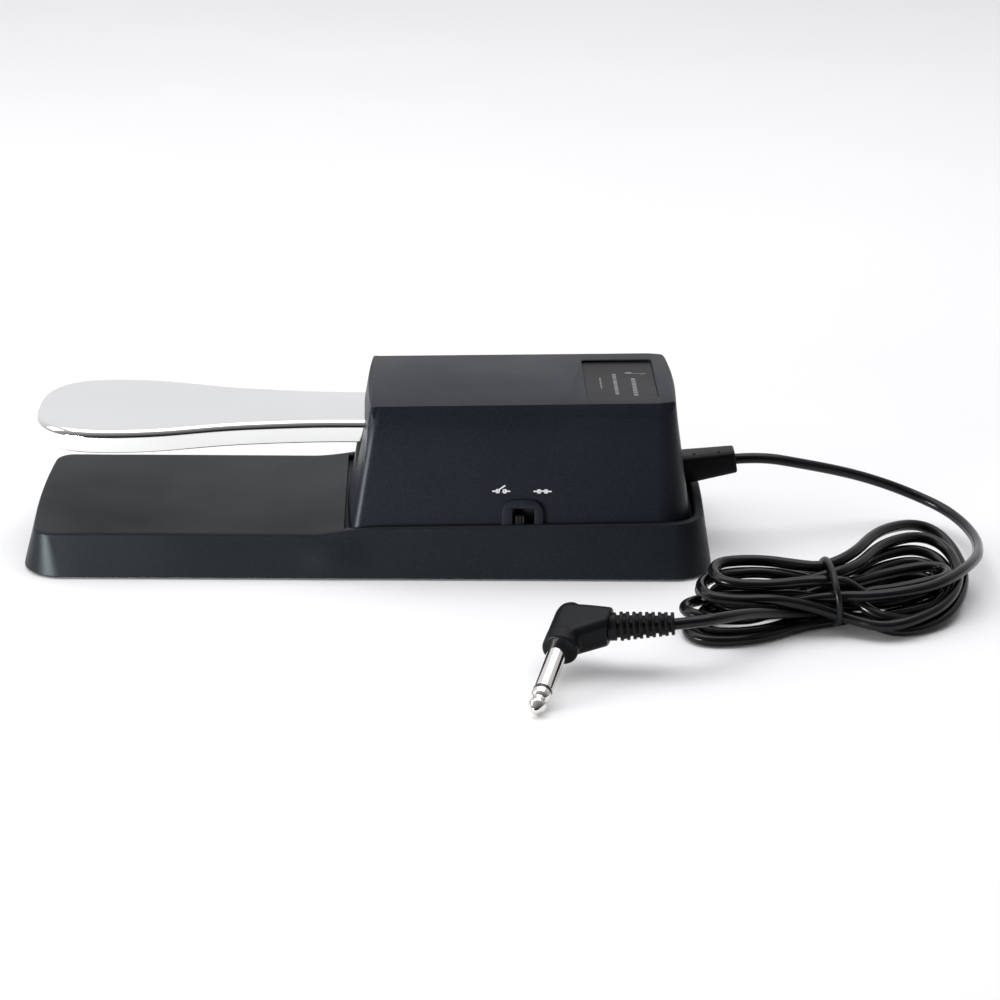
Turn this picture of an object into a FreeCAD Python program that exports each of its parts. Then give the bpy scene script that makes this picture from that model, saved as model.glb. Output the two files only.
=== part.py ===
"""Sustain pedal with a sprung chromed lever, a polarity switch and a tied lead with a right-angle jack plug.

Frame: millimetres, +Z up, origin on the floor under the middle of the base.
The lever's toe points along -X, the lead leaves the housing along +X, and the polarity switch faces -Y.
"""
import FreeCAD, Part
import math
import os

V = FreeCAD.Vector
UP = V(0, 0, 1)

# ---- base -------------------------------------------------------------------
FLOOR_GAP = 0.8               # the shell's lower edge above the floor
BASE_HALF_LENGTH = 120.5
BASE_HALF_WIDTH = 44.0
BASE_SIDE_DRAFT = 0.247       # inward millimetres per millimetre of height
BASE_TOE_DRAFT = 0.197
BASE_HEEL_DRAFT = 0.136
BASE_CORNER = 14.0
BASE_TOE_TOP_CORNER = 6.0
BASE_HEEL_TOP_CORNER = 11.0
BASE_CROWN = 1.8              # how far the end walls bow out at the middle
BASE_TOP = 21.0               # above every point of the rim, before the top is cut
PLATFORM_TOP = 15.2
RIM_FRONT = 17.94             # rim height at x = 2
RIM_SLOPE = 0.019
RAMP_START, RAMP_END = -26.0, 2.0
WALL = 2.5
DECK_UNDER = 12.7
DECK_TOP = 14.5
POCKET_HALF_WIDTH = 38.4      # the rim's inner wall
POCKET_TOE, POCKET_HEEL = -8.7, 114.4
DECK_OPENING = (4.0, 104.0, 26.0)

# ---- housing ----------------------------------------------------------------
HOUSING_HALF_WIDTH = 37.9     # at deck level
HOUSING_SIDE_DRAFT = 0.1835
HOUSING_TOE, HOUSING_TOE_DRAFT = -7.9, 0.18
HOUSING_HEEL, HOUSING_HEEL_DRAFT = 113.5, 0.152
HOUSING_TOE_CORNER = 3.5
HOUSING_HEEL_CORNER = 13.0
HOUSING_CROWN = 1.6
TOP_FRONT = 58.0              # roof height at x = 0
TOP_SLOPE = 0.0183
CHAMFER_TOP = (28.0, 58.0)    # y, z of the chamfer's upper edge at x = 0
CHAMFER_LOW = (30.6, 54.4)
SLOT_HALF_WIDTH = 19.0
SLOT_LOW, SLOT_HIGH = 31.3, 50.4
LABEL = (75.5, 100.5, 20.5, 1.0)          # x from, x to, half-width, recess depth
LABEL_THICK = 0.5
LABEL_GAP = 0.3

# ---- lever and pivot --------------------------------------------------------
PIVOT = V(75.0, 0, 43.5)
LEVER_TOP = 48.7
LEVER_LOW = 40.9
LEVER_WALL = 2.2
LEVER_EDGE = 2.2
LEVER_TAIL = 44.0
LEVER_HALF_OUTLINE = ((44.0, 16.8), (-10.0, 16.9), (-25.0, 17.8), (-42.0, 19.9), (-60.0, 24.0),
                      (-76.0, 27.7),
                      (-90.0, 29.1), (-101.0, 27.8), (-109.5, 22.9), (-114.6, 14.0), (-116.5, 0.0))
ARM_HALF_WIDTH = 12.0
ARM_LOW, ARM_TOP = 41.5, 46.5
ARM_FRONT = 8.0
EYE_RADIUS = 7.0
BUSH_OUTER = 5.0
PIN_RADIUS = 3.0
PIN_CLEARANCE = 0.05
EAR_INNER, EAR_OUTER = 15.0, 17.0
SPRING_X = 33.0
SPRING_MEAN_RADIUS = 5.8
SPRING_WIRE = 0.8
SPRING_TURNS = 7
SEAT_TOP = 6.2                # lower end of the spring
SPRING_HIGH = 39.5            # upper end of the spring
RIVET_PLACES = (23.5, 41.0)
RIVET_RADIUS = 2.0
STOP = (8.5, 16.5, 9.0)       # x from, x to, half-width of the stop post and its pads
STOP_POST_TOP, LOWER_PAD_TOP = 32.0, 34.6

# ---- bottom -----------------------------------------------------------------
PLATE_LOW, PLATE_TOP = 1.6, 3.2
FOOT_RADIUS = 8.0
FOOT_PLACES = ((-100.0, -27.0), (-100.0, 27.0), (98.0, -27.0), (98.0, 27.0))
BASE_SCREW_PLACES = ((-108.0, -12.0), (-108.0, 12.0), (-14.0, -33.0), (-14.0, 33.0), (110.0, -12.0),
                     (110.0, 12.0))
HOUSING_SCREW_PLACES = ((14.0, -30.5), (14.0, 30.5), (96.0, -30.5), (96.0, 30.5))
SCREW_RADIUS = 1.4
BALLAST = (-98.0, -26.0, 30.0, 10.5)       # x from, x to, half-width, top
BALLAST_SCREW_PLACES = ((-82.0, 0.0), (-42.0, 0.0))
BRACKET_SCREW_PLACES = ((66.5, -20.3), (66.5, 20.3), (86.0, -20.3), (86.0, 20.3))
BRACKET_FOOT = (63.0, 89.5, 24.0, 2.0)     # x from, x to, half-width, thickness

# ---- switches and board -----------------------------------------------------
BOARD_LOW, BOARD_TOP = 17.0, 18.6
BOARD = (41.0, 65.0, -33.0, -3.0)
BOARD_POSTS = ((44.5, -22.0), (58.0, -22.0))
PLUNGER = (54.0, -7.3, 1.5)
PLUNGER_GAP = 0.06
KNOB = (50.2, 53.7, 21.4, 23.6)            # x from, x to, z from, z to
BEZEL = (45.7, 62.3, 19.4, 28.4)
BEZEL_OPENING = (49.5, 56.8, 24.7)
BEZEL_THICK = 1.3
BEZEL_CORNER = 3.0

# ---- lead, hank and plug ----------------------------------------------------
CORD_RADIUS = 1.9
RELIEF_START = V(108.0, 0, 25.7)
RELIEF_RISE = math.radians(9.5)
RELIEF_LENGTH = 22.6
RELIEF_RADII = (5.1, 3.9)
LEAD_ROUTE = ((130.3, 0, 29.4), (139.6, 0, 30.9), (154.0, 2.4, 28.9), (172.5, 9.2, 22.4),
              (188.0, 15.8, 14.4), (199.5, 18.6, 6.4), (208.6, 15.2, 2.6), (214.4, 5.6, 2.3),
              (216.0, -6.5, 2.3), (214.9, -20.0, 2.8), (211.0, -34.0, 5.0), (204.0, -47.5, 7.6),
              (195.0, -59.0, 9.6))
# Stations along the hank: x, y, half-width across, lowest, highest.
HANK_STATIONS = ((102.8, -87.8, 5.0, 1.4, 7.4), (106.5, -87.0, 13.0, 0.3, 11.0),
                 (115.0, -84.5, 18.6, 0.2, 17.0), (130.0, -80.7, 19.2, 0.2, 18.6),
                 (143.0, -77.0, 15.0, 0.6, 18.6), (154.5, -74.8, 13.2, 1.8, 19.0),
                 (165.0, -72.0, 20.5, 0.6, 20.2), (178.0, -65.4, 31.5, 0.2, 20.8),
                 (190.0, -61.2, 33.0, 0.2, 19.6), (200.0, -58.8, 27.0, 0.2, 17.0),
                 (207.0, -57.0, 15.5, 2.0, 13.4), (210.0, -56.5, 5.0, 4.6, 11.0))
TAIL_ROUTE = ((114.5, -116.6, 15.6), (122.0, -109.8, 14.2), (131.0, -101.0, 12.0), (142.5, -91.5, 8.6))
TIE_PLACE = V(154.5, -74.8, 10.4)
TIE_HALF = (14.9, 10.2)
TIE_WIRE = 1.2
TIE_AZIMUTH = math.radians(13.0)
PLUG_POINT = V(53.5, -154.0, 2.05)
PIN_AZIMUTH = math.radians(-106.3)
PIN_PITCH = math.radians(-15.5)
PLUG_AZIMUTH = math.radians(-4.0)   # of the plug's strain relief
PLUG_RISE = math.radians(5.0)
SLEEVE_RADIUS = 3.175
SLEEVE_LENGTH = 20.0
INSULATOR_LENGTH = 1.2
TIP_PROFILE = ((0.0, SLEEVE_RADIUS), (1.9, SLEEVE_RADIUS), (3.4, 2.25), (4.6, 2.25), (5.6, 2.95),
               (6.0, 2.95), (9.3, 0.6))
BOSS_LENGTH = 12.0
BOSS_RADIUS = 6.2
COLLAR_PLACE = 14.5
PLUG_RELIEF_LENGTH = 20.0
PLUG_RELIEF_RADII = (4.8, 3.7)
RIB_COUNT = 9


# ---- helpers ----------------------------------------------------------------
def box(x0, x1, y0, y1, z0, z1):
    """An upright box between two corners."""
    return Part.makeBox(x1 - x0, y1 - y0, z1 - z0, V(x0, y0, z0))


def rod(x, y, z0, z1, radius):
    """An upright cylinder."""
    return Part.makeCylinder(radius, z1 - z0, V(x, y, z0), UP)


def cross_rod(centre, half_length, radius, start=None):
    """A cylinder along Y about a centre, or from start to half_length on the +Y side."""
    low = -half_length if start is None else start
    return Part.makeCylinder(radius, half_length - low, V(centre.x, low, centre.z), V(0, 1, 0))


def prism_y(points, y0, y1):
    """A polygon in the XZ plane, extruded from y0 to y1."""
    corners = [V(x, y0, z) for x, z in points]
    return Part.Face(Part.makePolygon(corners + corners[:1])).extrude(V(0, y1 - y0, 0))


def fuse(shapes):
    """One solid out of several overlapping ones."""
    whole = shapes[0].fuse(shapes[1:]) if len(shapes) > 1 else shapes[0]
    return whole.removeSplitter()


def corner_arcs(end_x, half_width, corner, crown, sign):
    """One end of a plan outline: the points of corner arc, bowed end and corner arc, from -Y to +Y.

    sign is +1 for the heel end and -1 for the toe end.
    """
    bow = (half_width ** 2 + crown ** 2) / (2 * crown)
    reach = math.sqrt((bow - corner) ** 2 - (half_width - corner) ** 2)
    corner_x = abs(end_x) - bow + reach
    turn = math.atan2(half_width - corner, reach)
    points = []
    for angle, centre_x, centre_y, radius in (
            (math.pi / 2, corner_x, half_width - corner, corner),
            ((math.pi / 2 + turn) / 2, corner_x, half_width - corner, corner),
            (turn, corner_x, half_width - corner, corner)):
        points.append((centre_x + radius * math.cos(angle), centre_y + radius * math.sin(angle)))
    right = [(x, -y) for x, y in points]
    middle = [(abs(end_x), 0.0)]
    both = right + middle + points[::-1]
    return [(sign * x, y) for x, y in both]


def plan_wire(z, toe_x, heel_x, half_width, toe_corner, heel_corner, crown):
    """A closed plan outline at height z: straight sides, bowed ends and tangent corner arcs."""
    shift = (toe_x + heel_x) / 2
    half = (heel_x - toe_x) / 2
    heel = [V(shift + x, y, z) for x, y in corner_arcs(half, half_width, heel_corner, crown, 1)]
    toe = [V(shift + x, y, z) for x, y in corner_arcs(half, half_width, toe_corner, crown, -1)]
    edges = [Part.LineSegment(toe[0], heel[0])]
    for i in (0, 2, 4):
        edges.append(Part.Arc(heel[i], heel[i + 1], heel[i + 2]))
    edges.append(Part.LineSegment(heel[6], toe[6]))
    for i in (6, 4, 2):
        edges.append(Part.Arc(toe[i], toe[i - 1], toe[i - 2]))
    return Part.Wire([edge.toShape() for edge in edges])


def base_block(inset, z0, z1):
    """The base's drafted outer form, or the same form set in by inset, between two heights."""
    wires = []
    for z in (z0, z1):
        share = z / PLATFORM_TOP
        wires.append(plan_wire(
            z,
            -BASE_HALF_LENGTH + BASE_TOE_DRAFT * z + inset,
            BASE_HALF_LENGTH - BASE_HEEL_DRAFT * z - inset,
            BASE_HALF_WIDTH - BASE_SIDE_DRAFT * z - inset,
            max(BASE_CORNER + (BASE_TOE_TOP_CORNER - BASE_CORNER) * share - inset, 1.5),
            max(BASE_CORNER + (BASE_HEEL_TOP_CORNER - BASE_CORNER) * share - inset, 1.5),
            BASE_CROWN))
    return Part.makeLoft(wires, True, True)


def housing_block(inset, z0, z1):
    """The housing's drafted outer form, or the same form set in by inset, between two heights."""
    wires = []
    for z in (z0, z1):
        rise = z - DECK_TOP
        wires.append(plan_wire(
            z,
            HOUSING_TOE + HOUSING_TOE_DRAFT * rise + inset,
            HOUSING_HEEL - HOUSING_HEEL_DRAFT * rise - inset,
            HOUSING_HALF_WIDTH - HOUSING_SIDE_DRAFT * rise - inset,
            max(HOUSING_TOE_CORNER - inset, 1.0),
            HOUSING_HEEL_CORNER - inset,
            HOUSING_CROWN))
    return Part.makeLoft(wires, True, True)


def roof(x):
    """Height of the housing's top at x."""
    return TOP_FRONT + TOP_SLOPE * x


def below_roof(depth):
    """Everything that lies deeper than depth under the roof plane."""
    x0, x1 = -20.0, 130.0
    return prism_y([(x0, 0), (x1, 0), (x1, roof(x1) - depth), (x0, roof(x0) - depth)], -60, 60)


def roof_slab(x0, x1, half_width, shallow, deep):
    """A thin plate parallel to the roof, between two depths under it."""
    points = [(x0, roof(x0) - deep), (x1, roof(x1) - deep)]
    points += [(x1, roof(x1) - shallow), (x0, roof(x0) - shallow)]
    return prism_y(points, -half_width, half_width)


def screws(places, head_z, head_height, head_radius, tip_z, radius, head_up):
    """A group of upright screws; head_up says that the head is at the upper end."""
    group = []
    for x, y in places:
        if head_up:
            head = rod(x, y, head_z, head_z + head_height, head_radius)
            shaft = rod(x, y, tip_z, head_z, radius)
        else:
            head = rod(x, y, head_z - head_height, head_z, head_radius)
            shaft = rod(x, y, head_z, tip_z, radius)
        group.append(fuse([head, shaft]))
    return Part.makeCompound(group)


def place(shape, origin, x_dir, z_dir):
    """Move a shape from its own axes to origin, with its X and Z along the given directions."""
    z_dir = V(z_dir).normalize()
    y_dir = z_dir.cross(x_dir).normalize()
    x_dir = y_dir.cross(z_dir)
    matrix = FreeCAD.Matrix(x_dir.x, y_dir.x, z_dir.x, origin.x,
                            x_dir.y, y_dir.y, z_dir.y, origin.y,
                            x_dir.z, y_dir.z, z_dir.z, origin.z,
                            0, 0, 0, 1)
    moved = shape.copy()
    moved.Placement = FreeCAD.Placement(matrix)
    return moved


def tube(name, points, radius):
    """A round tube along straight runs joined by tangent arcs, each as large as its two runs allow."""
    corners = [V(*point) for point in points]
    edges = []
    radii = []
    start = corners[0]
    for before, corner, after in zip(corners, corners[1:], corners[2:]):
        back = before - corner
        ahead = after - corner
        turn = math.pi - back.getAngle(ahead)
        reach = 0.45 * min(back.Length, ahead.Length)
        bend = reach / math.tan(turn / 2)
        radii.append(bend)
        back.normalize()
        ahead.normalize()
        enter = corner + back * reach
        leave = corner + ahead * reach
        inward = (back + ahead).normalize()
        centre = corner + inward * (bend / math.cos(turn / 2))
        middle = centre - inward * bend
        edges.append(Part.LineSegment(start, enter).toShape())
        edges.append(Part.Arc(enter, middle, leave).toShape())
        start = leave
    edges.append(Part.LineSegment(start, corners[-1]).toShape())
    path = Part.Wire(edges)
    direction = corners[1] - corners[0]
    section = Part.Wire(Part.makeCircle(radius, corners[0], direction))
    solid = path.makePipeShell([section], True, False)
    expected = math.pi * radius ** 2 * path.Length
    print(f"{name}: length {path.Length:.1f}, volume {solid.Volume:.0f} of {expected:.0f}, "
          f"lowest {solid.BoundBox.ZMin:.2f}, radii {[round(r, 1) for r in radii]}")
    return solid


# ---- base and bottom --------------------------------------------------------
def base_shell():
    """The long moulded base: platform, ramp, rim and deck, open underneath."""
    ramp = Part.BezierCurve()
    ramp.setPoles([V(RAMP_START, 0, PLATFORM_TOP), V(RAMP_START + 12, 0, PLATFORM_TOP),
                   V(RAMP_END - 14, 0, RIM_FRONT - 0.2), V(RAMP_END, 0, RIM_FRONT)])
    far = 130.0
    rim_far = RIM_FRONT + RIM_SLOPE * (far - RAMP_END)
    outline = [V(-far, 0, PLATFORM_TOP), V(RAMP_START, 0, PLATFORM_TOP)]
    rest = [V(RAMP_END, 0, RIM_FRONT), V(far, 0, rim_far), V(far, 0, 0), V(-far, 0, 0), outline[0]]
    edges = [Part.LineSegment(*outline).toShape(), ramp.toShape()]
    edges += [Part.LineSegment(a, b).toShape() for a, b in zip(rest, rest[1:])]
    side_view = Part.Face(Part.Wire(edges))
    side_view.translate(V(0, -60, 0))
    outer = base_block(0, FLOOR_GAP, BASE_TOP).common(side_view.extrude(V(0, 120, 0)))
    cavity = base_block(WALL, 0, DECK_UNDER)
    pocket_plan = plan_wire(DECK_TOP, POCKET_TOE, POCKET_HEEL, POCKET_HALF_WIDTH, 4.0, 14.0, HOUSING_CROWN)
    pocket = Part.Face(pocket_plan).extrude(V(0, 0, 20))
    x0, x1, half = DECK_OPENING
    shell = outer.cut([cavity, pocket, box(x0, x1, -half, half, DECK_UNDER - 1, DECK_TOP + 1)])
    bosses = [rod(x, y, PLATE_TOP, DECK_UNDER + 0.5, 4.0) for x, y in BASE_SCREW_PLACES]
    shell = fuse([shell] + bosses)
    holes = [rod(x, y, PLATE_TOP - 1, DECK_UNDER, SCREW_RADIUS) for x, y in BASE_SCREW_PLACES]
    holes += [rod(x, y, DECK_UNDER - 1, DECK_TOP + 1, SCREW_RADIUS + 0.2) for x, y in HOUSING_SCREW_PLACES]
    return shell.cut(holes)


def bottom_plate():
    """The sheet that closes the base from below, with screw holes."""
    plan = plan_wire(PLATE_LOW, -117.0, 117.0, BASE_HALF_WIDTH - BASE_SIDE_DRAFT * PLATE_TOP - WALL - 0.4,
                     11.0, 11.0, BASE_CROWN)
    plate = Part.Face(plan).extrude(V(0, 0, PLATE_TOP - PLATE_LOW))
    holes = [rod(x, y, 0, 5, SCREW_RADIUS + 0.2) for x, y in BASE_SCREW_PLACES]
    holes += [rod(x, y, 0, 5, SCREW_RADIUS) for x, y in BALLAST_SCREW_PLACES + BRACKET_SCREW_PLACES]
    return plate.cut(holes)


def rubber_feet():
    """Four round rubber feet under the bottom plate."""
    feet = []
    for x, y in FOOT_PLACES:
        foot = rod(x, y, 0, PLATE_LOW, FOOT_RADIUS)
        rim = [edge for edge in foot.Edges if abs(edge.BoundBox.ZMax) < 1e-6]
        feet.append(foot.makeFillet(0.5, rim))
    return Part.makeCompound(feet)


def ballast_weight():
    """Steel block under the platform that keeps the pedal from sliding."""
    x0, x1, half, top = BALLAST
    block = box(x0, x1, -half, half, PLATE_TOP, top)
    upright = [edge for edge in block.Edges if edge.Length < 10]
    block = block.makeFillet(4.0, upright)
    return block.cut([rod(x, y, 0, 20, 2.0) for x, y in BALLAST_SCREW_PLACES])


# ---- housing ----------------------------------------------------------------
def top_housing(relief):
    """The tall rear cover with its chamfered edges, lever slot, label recess and screw bosses."""
    outer = housing_block(0, DECK_TOP, 62.0).common(below_roof(0))
    inner = housing_block(WALL, DECK_TOP - 1, 62.0).common(below_roof(WALL))
    (y_top, z_top), (y_low, z_low) = CHAMFER_TOP, CHAMFER_LOW
    steep = (z_top - z_low) / (y_low - y_top)
    high_y, out_y = y_top - 6, y_low + 6
    ends = []
    for x, spread in ((-20.0, 0.2), (130.0, -1.3)):
        lift = TOP_SLOPE * x
        corners = [V(x, high_y + spread, z_top + 6 * steep + lift),
                   V(x, out_y + spread, z_low - 6 * steep + lift),
                   V(x, out_y + spread, z_top + 6 * steep + lift)]
        ends.append(Part.makePolygon(corners + corners[:1]))
    wedge = Part.makeLoft(ends, True, True)
    outer = outer.cut([wedge, wedge.mirror(V(0, 0, 0), V(0, 1, 0))])
    bosses = []
    for x, y in HOUSING_SCREW_PLACES:
        side = math.copysign(1, y)
        wall_rib = box(x - 1.5, x + 1.5, min(y, y + side * 6), max(y, y + side * 6), DECK_TOP, 30)
        bosses.append(rod(x, y, DECK_TOP, 30, 3.6).fuse(wall_rib))
    shell = fuse([outer.cut(inner)] + [boss.common(outer) for boss in bosses])
    x0, x1, half, depth = LABEL
    knob_x0, knob_x1, knob_top = BEZEL_OPENING
    cuts = [box(-15, 6, -SLOT_HALF_WIDTH, SLOT_HALF_WIDTH, SLOT_LOW, SLOT_HIGH),
            roof_slab(x0, x1, half, -2, depth),
            box(knob_x0, knob_x1, -45, -30, BEZEL[2], knob_top),
            relief]
    cuts += [rod(x, y, DECK_TOP - 1, 27, SCREW_RADIUS) for x, y in HOUSING_SCREW_PLACES]
    return shell.cut(cuts)


def label_plate():
    """Thin plate at the bottom of the recess in the roof."""
    x0, x1, half, depth = LABEL
    return roof_slab(x0 + LABEL_GAP, x1 - LABEL_GAP, half - LABEL_GAP, depth - LABEL_THICK, depth)


def polarity_bezel():
    """Arch-shaped guard that stands proud of the side wall round the polarity knob."""
    x0, x1, z0, z1 = BEZEL
    knob_x0, knob_x1, knob_top = BEZEL_OPENING
    arch = box(x0, x1, -45, -30, z0, z1)
    upper = [edge for edge in arch.Edges if edge.BoundBox.ZMin > z1 - 0.01 and edge.BoundBox.YLength > 1]
    arch = arch.makeFillet(BEZEL_CORNER, upper)
    arch = arch.cut(box(knob_x0, knob_x1, -50, -20, z0 - 1, knob_top))
    return arch.common(housing_block(-BEZEL_THICK, DECK_TOP, 60)).cut(housing_block(0, DECK_TOP, 60))


# ---- lever ------------------------------------------------------------------
def lever_plan(inset, z):
    """The lever's plan face: a smooth outline through a few half-width points, mirrored about the middle."""
    side = []
    for x, half in LEVER_HALF_OUTLINE[1:-1]:
        side.append((x + (inset if x < -112 else 0), half - inset))
    nose = LEVER_HALF_OUTLINE[-1][0] + inset
    tail_x, tail_half = LEVER_HALF_OUTLINE[0]
    left = [V(x, half, z) for x, half in side]
    right = [V(x, -half, z) for x, half in reversed(side)]
    curve = Part.BSplineCurve()
    curve.interpolate(left + [V(nose, 0, z)] + right)
    tail = [V(tail_x, tail_half - inset, z), V(tail_x, -(tail_half - inset), z)]
    edges = [curve.toShape(),
             Part.LineSegment(right[-1], tail[1]).toShape(),
             Part.LineSegment(tail[1], tail[0]).toShape(),
             Part.LineSegment(tail[0], left[0]).toShape()]
    return Part.Face(Part.Wire(Part.__sortEdges__(edges)))


def pedal_lever():
    """The chromed treadle: a pressed shell with a rounded shoulder and a skirt all round."""
    outer = lever_plan(0, LEVER_LOW).extrude(V(0, 0, LEVER_TOP - LEVER_LOW))
    top_edges = [edge for edge in outer.Edges if edge.BoundBox.ZMin > LEVER_TOP - 0.01]
    outer = outer.makeFillet(LEVER_EDGE, top_edges)
    inner = lever_plan(LEVER_WALL, LEVER_LOW - 1).extrude(V(0, 0, ARM_TOP - LEVER_LOW + 1))
    rivets = [rod(x, 0, 30, 60, RIVET_RADIUS) for x in RIVET_PLACES]
    return outer.cut([inner, box(LEVER_TAIL - 3, LEVER_TAIL + 5, -14.6, 14.6, 30, ARM_TOP)] + rivets)


def lever_arm():
    """Steel bar riveted inside the lever, ending in the pivot eye."""
    bar = box(ARM_FRONT, PIVOT.x, -ARM_HALF_WIDTH, ARM_HALF_WIDTH, ARM_LOW, ARM_TOP)
    eye = cross_rod(PIVOT, ARM_HALF_WIDTH, EYE_RADIUS)
    bore = cross_rod(PIVOT, ARM_HALF_WIDTH + 1, BUSH_OUTER)
    return fuse([bar, eye]).cut([bore] + [rod(x, 0, 30, 60, RIVET_RADIUS) for x in RIVET_PLACES])


def lever_rivets():
    """Rivets through lever and arm, flush underneath."""
    return Part.makeCompound([
        fuse([rod(x, 0, ARM_LOW, LEVER_TOP, RIVET_RADIUS), rod(x, 0, LEVER_TOP, LEVER_TOP + 1.0, 3.4)])
        for x in RIVET_PLACES])


def pivot_bushes():
    """Two flanged bushes in the arm's eye, running on the pin."""
    bushes = []
    for side in (-1, 1):
        sleeve = Part.makeCylinder(BUSH_OUTER, 7, V(PIVOT.x, side * 5, PIVOT.z), V(0, side, 0))
        foot = V(PIVOT.x, side * ARM_HALF_WIDTH, PIVOT.z)
        flange = Part.makeCylinder(EYE_RADIUS, 2.4, foot, V(0, side, 0))
        bore = cross_rod(PIVOT, 20, PIN_RADIUS + PIN_CLEARANCE)
        bushes.append(fuse([sleeve, flange]).cut(bore))
    return Part.makeCompound(bushes)


def pivot_bracket():
    """Folded steel bracket on the bottom plate, whose two ears carry the pin."""
    x0, x1, half, thick = BRACKET_FOOT
    foot = box(x0, x1, -half, half, PLATE_TOP, PLATE_TOP + thick)
    ears = []
    for side in (-1, 1):
        low, high = sorted((side * EAR_INNER, side * EAR_OUTER))
        plate = box(PIVOT.x - 9, PIVOT.x + 9, low, high, PLATE_TOP, PIVOT.z)
        crown = Part.makeCylinder(9, high - low, V(PIVOT.x, low, PIVOT.z), V(0, 1, 0))
        ears.append(plate.fuse(crown))
    holes = [cross_rod(PIVOT, 30, PIN_RADIUS)]
    holes += [rod(x, y, 0, 9, SCREW_RADIUS + 0.2) for x, y in BRACKET_SCREW_PLACES]
    return fuse([foot] + ears).cut(holes)


def pin_clips():
    """Two retaining rings on the ends of the pivot pin."""
    clips = []
    for side in (-1, 1):
        ring = Part.makeCylinder(5.2, 0.8, V(PIVOT.x, side * EAR_OUTER, PIVOT.z), V(0, side, 0))
        clips.append(ring.cut(cross_rod(PIVOT, 30, PIN_RADIUS)))
    return Part.makeCompound(clips)


def return_spring():
    """Coil spring between its two seats."""
    low, high = SEAT_TOP + SPRING_WIRE, SPRING_HIGH - SPRING_WIRE
    helix = Part.makeHelix((high - low) / SPRING_TURNS, high - low, SPRING_MEAN_RADIUS)
    circle = Part.Wire(Part.makeCircle(SPRING_WIRE, V(SPRING_MEAN_RADIUS, 0, 0), V(0, 1, 0)))
    solid = Part.Wire(helix).makePipeShell([circle], True, True)
    solid.translate(V(SPRING_X, 0, low))
    return solid


# ---- switches ---------------------------------------------------------------
def board_posts():
    """The pillars the circuit board is screwed to."""
    posts = [rod(x, y, PLATE_TOP, BOARD_LOW, 3.0) for x, y in BOARD_POSTS]
    pilots = [rod(x, y, 10, 20, SCREW_RADIUS) for x, y in BOARD_POSTS]
    return Part.makeCompound([post.cut(pilot) for post, pilot in zip(posts, pilots)])


def foot_switch_body():
    """The switch under the lever's arm, with a guide hole for its plunger."""
    x, y, radius = PLUNGER
    body = box(x - 10, x + 10, y - 3.2, y + 3.2, BOARD_TOP, 35.5)
    return body.cut(rod(x, y, 28, 40, radius + PLUNGER_GAP))


def circuit_board():
    """Small board that carries both switches."""
    x0, x1, y0, y1 = BOARD
    board = box(x0, x1, y0, y1, BOARD_LOW, BOARD_TOP)
    return board.cut([rod(x, y, 10, 20, SCREW_RADIUS) for x, y in BOARD_POSTS])


def polarity_switch_body():
    """Slide-switch case behind the side wall, open where the knob enters it."""
    x0, x1, z0, z1 = KNOB
    case = box(46.5, 60.0, -32.9, -28.5, BOARD_TOP, 25.2)
    return case.cut(box(x0 - 0.8, x1 + 3.5, -35, -30, z0 - 0.5, z1 + 0.5))


def polarity_slider():
    """The polarity knob, which reaches through the side wall."""
    x0, x1, z0, z1 = KNOB
    knob = box(x0, x1, -38.2, -30.4, z0, z1)
    front = [edge for edge in knob.Edges if edge.BoundBox.YMax < -38.1]
    return knob.makeFillet(0.35, front)


# ---- lead, hank and plug ----------------------------------------------------
def relief_direction():
    """Direction in which the lead leaves the housing."""
    return V(math.cos(RELIEF_RISE), 0, math.sin(RELIEF_RISE))


def cord_strain_relief():
    """Tapered sleeve through the rear wall, with a flange inside it."""
    along = relief_direction()
    sleeve = Part.makeCone(*RELIEF_RADII, RELIEF_LENGTH, RELIEF_START, along)
    flange = Part.makeCylinder(6.6, 1.6, RELIEF_START - along * 0.8, along)
    return fuse([sleeve, flange])


def inner_route():
    """The lead inside the housing, from the strain relief to the board."""
    start = RELIEF_START - relief_direction() * 0.8
    second = start - relief_direction() * 13.0
    return [(start.x, start.y, start.z), (second.x, second.y, second.z), (80.5, -4.0, 20.9),
            (69.5, -10.2, 20.3), (61.0, -14.4, 20.3)]


def cord_hank():
    """The tied bundle of turns as one closed form: two flat lobes and a narrow waist."""
    rings = []
    for i, (x, y, half, low, high) in enumerate(HANK_STATIONS):
        before = HANK_STATIONS[max(i - 1, 0)]
        after = HANK_STATIONS[min(i + 1, len(HANK_STATIONS) - 1)]
        side = UP.cross(V(after[0] - before[0], after[1] - before[1], 0)).normalize()
        centre = V(x, y, (low + high) / 2)
        thick = (high - low) / 2
        if half > thick:
            ellipse = Part.Ellipse(centre + side * half, centre + UP * thick, centre)
        else:
            ellipse = Part.Ellipse(centre + UP * thick, centre - side * half, centre)
        rings.append(Part.Wire(ellipse.toShape()))
    return Part.makeLoft(rings, True, False)


def up_to(hank, lead):
    """A lead ended at the hank's surface."""
    return max(lead.cut(hank).Solids, key=lambda piece: piece.Volume)


def hank_tie():
    """Wire tie round the hank's waist."""
    ring = []
    for inset in (0, TIE_WIRE):
        wide, high = TIE_HALF[0] - inset, TIE_HALF[1] - inset
        ellipse = Part.Ellipse(V(wide, 0, 0), V(0, high, 0), V(0, 0, 0))
        ring.append(Part.Face(Part.Wire(ellipse.toShape())).extrude(V(0, 0, TIE_WIRE)))
    band = ring[0].cut(ring[1])
    along = V(math.cos(TIE_AZIMUTH), math.sin(TIE_AZIMUTH), 0)
    across = V(-along.y, along.x, 0)
    return place(band, TIE_PLACE - along * (TIE_WIRE / 2), across, along)


def direction(azimuth, rise):
    """Unit direction from its angle in plan and its angle above the floor."""
    return V(math.cos(rise) * math.cos(azimuth), math.cos(rise) * math.sin(azimuth), math.sin(rise))


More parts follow.
